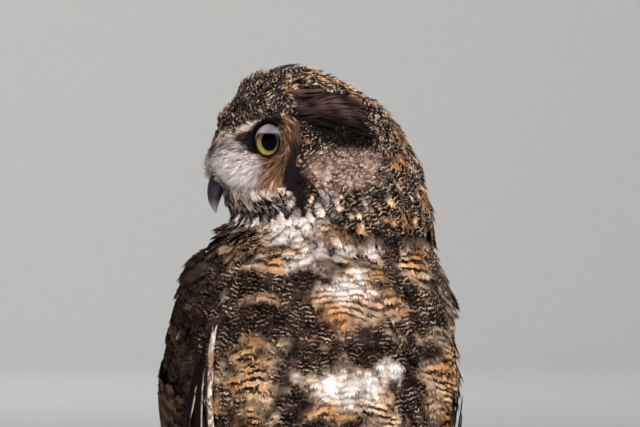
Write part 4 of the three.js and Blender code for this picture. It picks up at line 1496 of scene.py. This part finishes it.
def cornea_material():
    """Clear and thin, with no grains of reflected light over the pupil."""
    graph = Graph("eye_cornea", Roughness=0.0, Transmission_Weight=1.0, IOR=1.22, Specular_IOR_Level=0.12)
    graph.fill(graph.surface, {"Specular Tint": (0, 0, 0, 1)})
    return graph.finish((1, 1, 1, 1))


def spun(name, centre, axis, profile, around=56):
    """A surface turned about an axis from (radius, height) rows, and each row's turns."""
    across = np.cross(axis, UP)
    turns = np.arange(around) * 2 * math.pi / around
    points = np.concatenate([
        centre + axis * height + np.outer(np.cos(turns), across) * r + np.outer(np.sin(turns), UP) * r
        for r, height in profile
    ])
    return new_mesh(name, points, ring_faces(len(profile), around)[:, ::-1]), turns


def make_eye(name, iris, cornea):
    """A ball cut flat for the iris, with a low dark rim, and a clear dome over it."""
    centre, axis, ball = eye_place(name)
    edge = IRIS_RADIUS * 1.03
    rise = math.sqrt(ball**2 - edge**2)
    dome = 4.4 * MM
    bend = (edge**2 + dome**2) / (2 * dome)  # the dome is a cap of a ball of this radius

    def cap(radius):
        """A row of the dome, this far from its axis."""
        return radius, rise + math.sqrt(bend**2 - radius**2) - bend + dome

    slopes = np.linspace(-math.pi / 2, math.asin(rise / ball), 16)
    back = [(ball * math.cos(slope), ball * math.sin(slope)) for slope in slopes]
    rim = [cap(edge * 0.94), (edge * 0.92, cap(edge * 0.94)[1] - 0.3 * MM)]
    sunk = ((0.99, 0), (PUPIL_SHARE, 1.0), (0.02, 1.2))
    flat = [(IRIS_RADIUS * share, rise - depth * MM) for share, depth in sunk]
    rows = back + rim + flat
    eye, turns = spun(f"eyeball_{name}", centre, axis, rows)
    around = np.stack([np.cos(turns) * SIDES[name], np.sin(turns), turns * 0], 1)
    spots = np.concatenate([around * r / IRIS_RADIUS for r, _ in rows])
    spots[: len(back + rim) * len(turns)] = (2, 0, 0)  # all but the iris is black
    set_points(eye, "spot", spots)
    own(eye, iris, "eye", f"eye_{name}")
    dome_rows = [cap(edge * share) for share in np.linspace(0.95, 0.01, 14)]
    lens, _ = spun(f"cornea_{name}", centre, axis, dome_rows)
    lens.visible_shadow = False
    own(lens, cornea, "eye")


def make_lids(name, material):
    """Lids round the eyeball: a black rim that hugs it, and an upper lid half lowered over the dome."""
    centre, axis, ball = eye_place(name)
    across = np.cross(axis, UP)
    lid_above, lid_round = 6.0 * MM, 10.9 * MM
    corner, hem = 9.0, math.radians(84)  # sharpness of the opening's corners; the outer edge
    around, rings = 72, 12
    turns = np.arange(around) * 2 * math.pi / around  # 0 is straight up
    high, front = np.cos(turns), np.sin(turns) * SIDES[name]
    flat = lid_above / np.maximum(high, 0.05)
    opening = (flat**-corner + lid_round**-corner) ** (-1 / corner)
    upper = step(high, 0.1, 0.5)
    edge = ball + (0.1 + 0.6 * upper) * MM
    inner = np.arcsin(np.clip(opening / edge, 0, 0.99))
    bare = step(high + 0.4 * np.minimum(front, 0), 0.1, 0.45)
    # The upper lid turns darker towards the back: painted shade over its rear.
    lavender = tint(rgb(104, 92, 112), rgb(170, 156, 166), step(front, -0.6, 0.5))
    outside = tint(rgb(92, 64, 48), BLACK, step(front, -0.45, 0.1))
    points, paint = [], np.ones((rings + 1, around, 4))
    for i in range(rings + 1):
        share = i / rings
        tilt = inner + (hem - inner) * share
        radius = edge + (0.6 - 0.3 * upper) * MM * step(share, 0.0, 0.3) - 1.2 * MM * step(share, 0.5, 1)
        radius = radius - 0.6 * MM * (i == 0)
        side = np.sin(tilt) * radius
        points.append(
            centre + np.outer(np.cos(tilt) * radius, axis)
            + np.outer(np.sin(turns) * side, across) + np.outer(high * side, UP)
        )
        rim = step(share, 0.0, 0.05) * (1 - step(share, 0.6, 0.75))
        colour = tint(BLACK, outside, np.full(around, step(share, 0.12, 0.2)))
        paint[i, :, :3] = tint(colour, lavender, bare * rim)
    lids = new_mesh(f"eyelids_{name}", np.concatenate(points), ring_faces(rings + 1, around)[:, ::-1])
    set_points(lids, "paint", paint.reshape(-1, 4))
    own(lids, material, "face_feathers")


def lid_material():
    """Finely grained skin in the colours kept on the mesh."""
    graph = Graph("lid_skin", Roughness=0.5)
    grain = graph.noise(graph.place(), 1500.0, 3.0)
    graph.bump(grain, 0.3, 0.3 * MM)
    paint = graph.attribute("paint", "Color")
    return graph.finish(graph.blend(graph.ramp(grain, 0.45, 0.75), paint, (0.08, 0.07, 0.085)))


# ---------------------------------------------------------------- everything, in order
make_camera()
make_studio()
skin = Skin()
paint_skin(skin)
own(skin.obj, FEATHER_LOOK, "body_feathers", *FLESH)
make_coat(skin)
iris, cornea, lid_skin = iris_material(), cornea_material(), lid_material()
for side_name in SIDES:
    make_tuft(skin, side_name)
    make_wing(side_name)
    make_edging(skin, side_name)
    make_eye(side_name, iris, cornea)
    make_lids(side_name, lid_skin)
make_tail()
make_bill_and_claws()
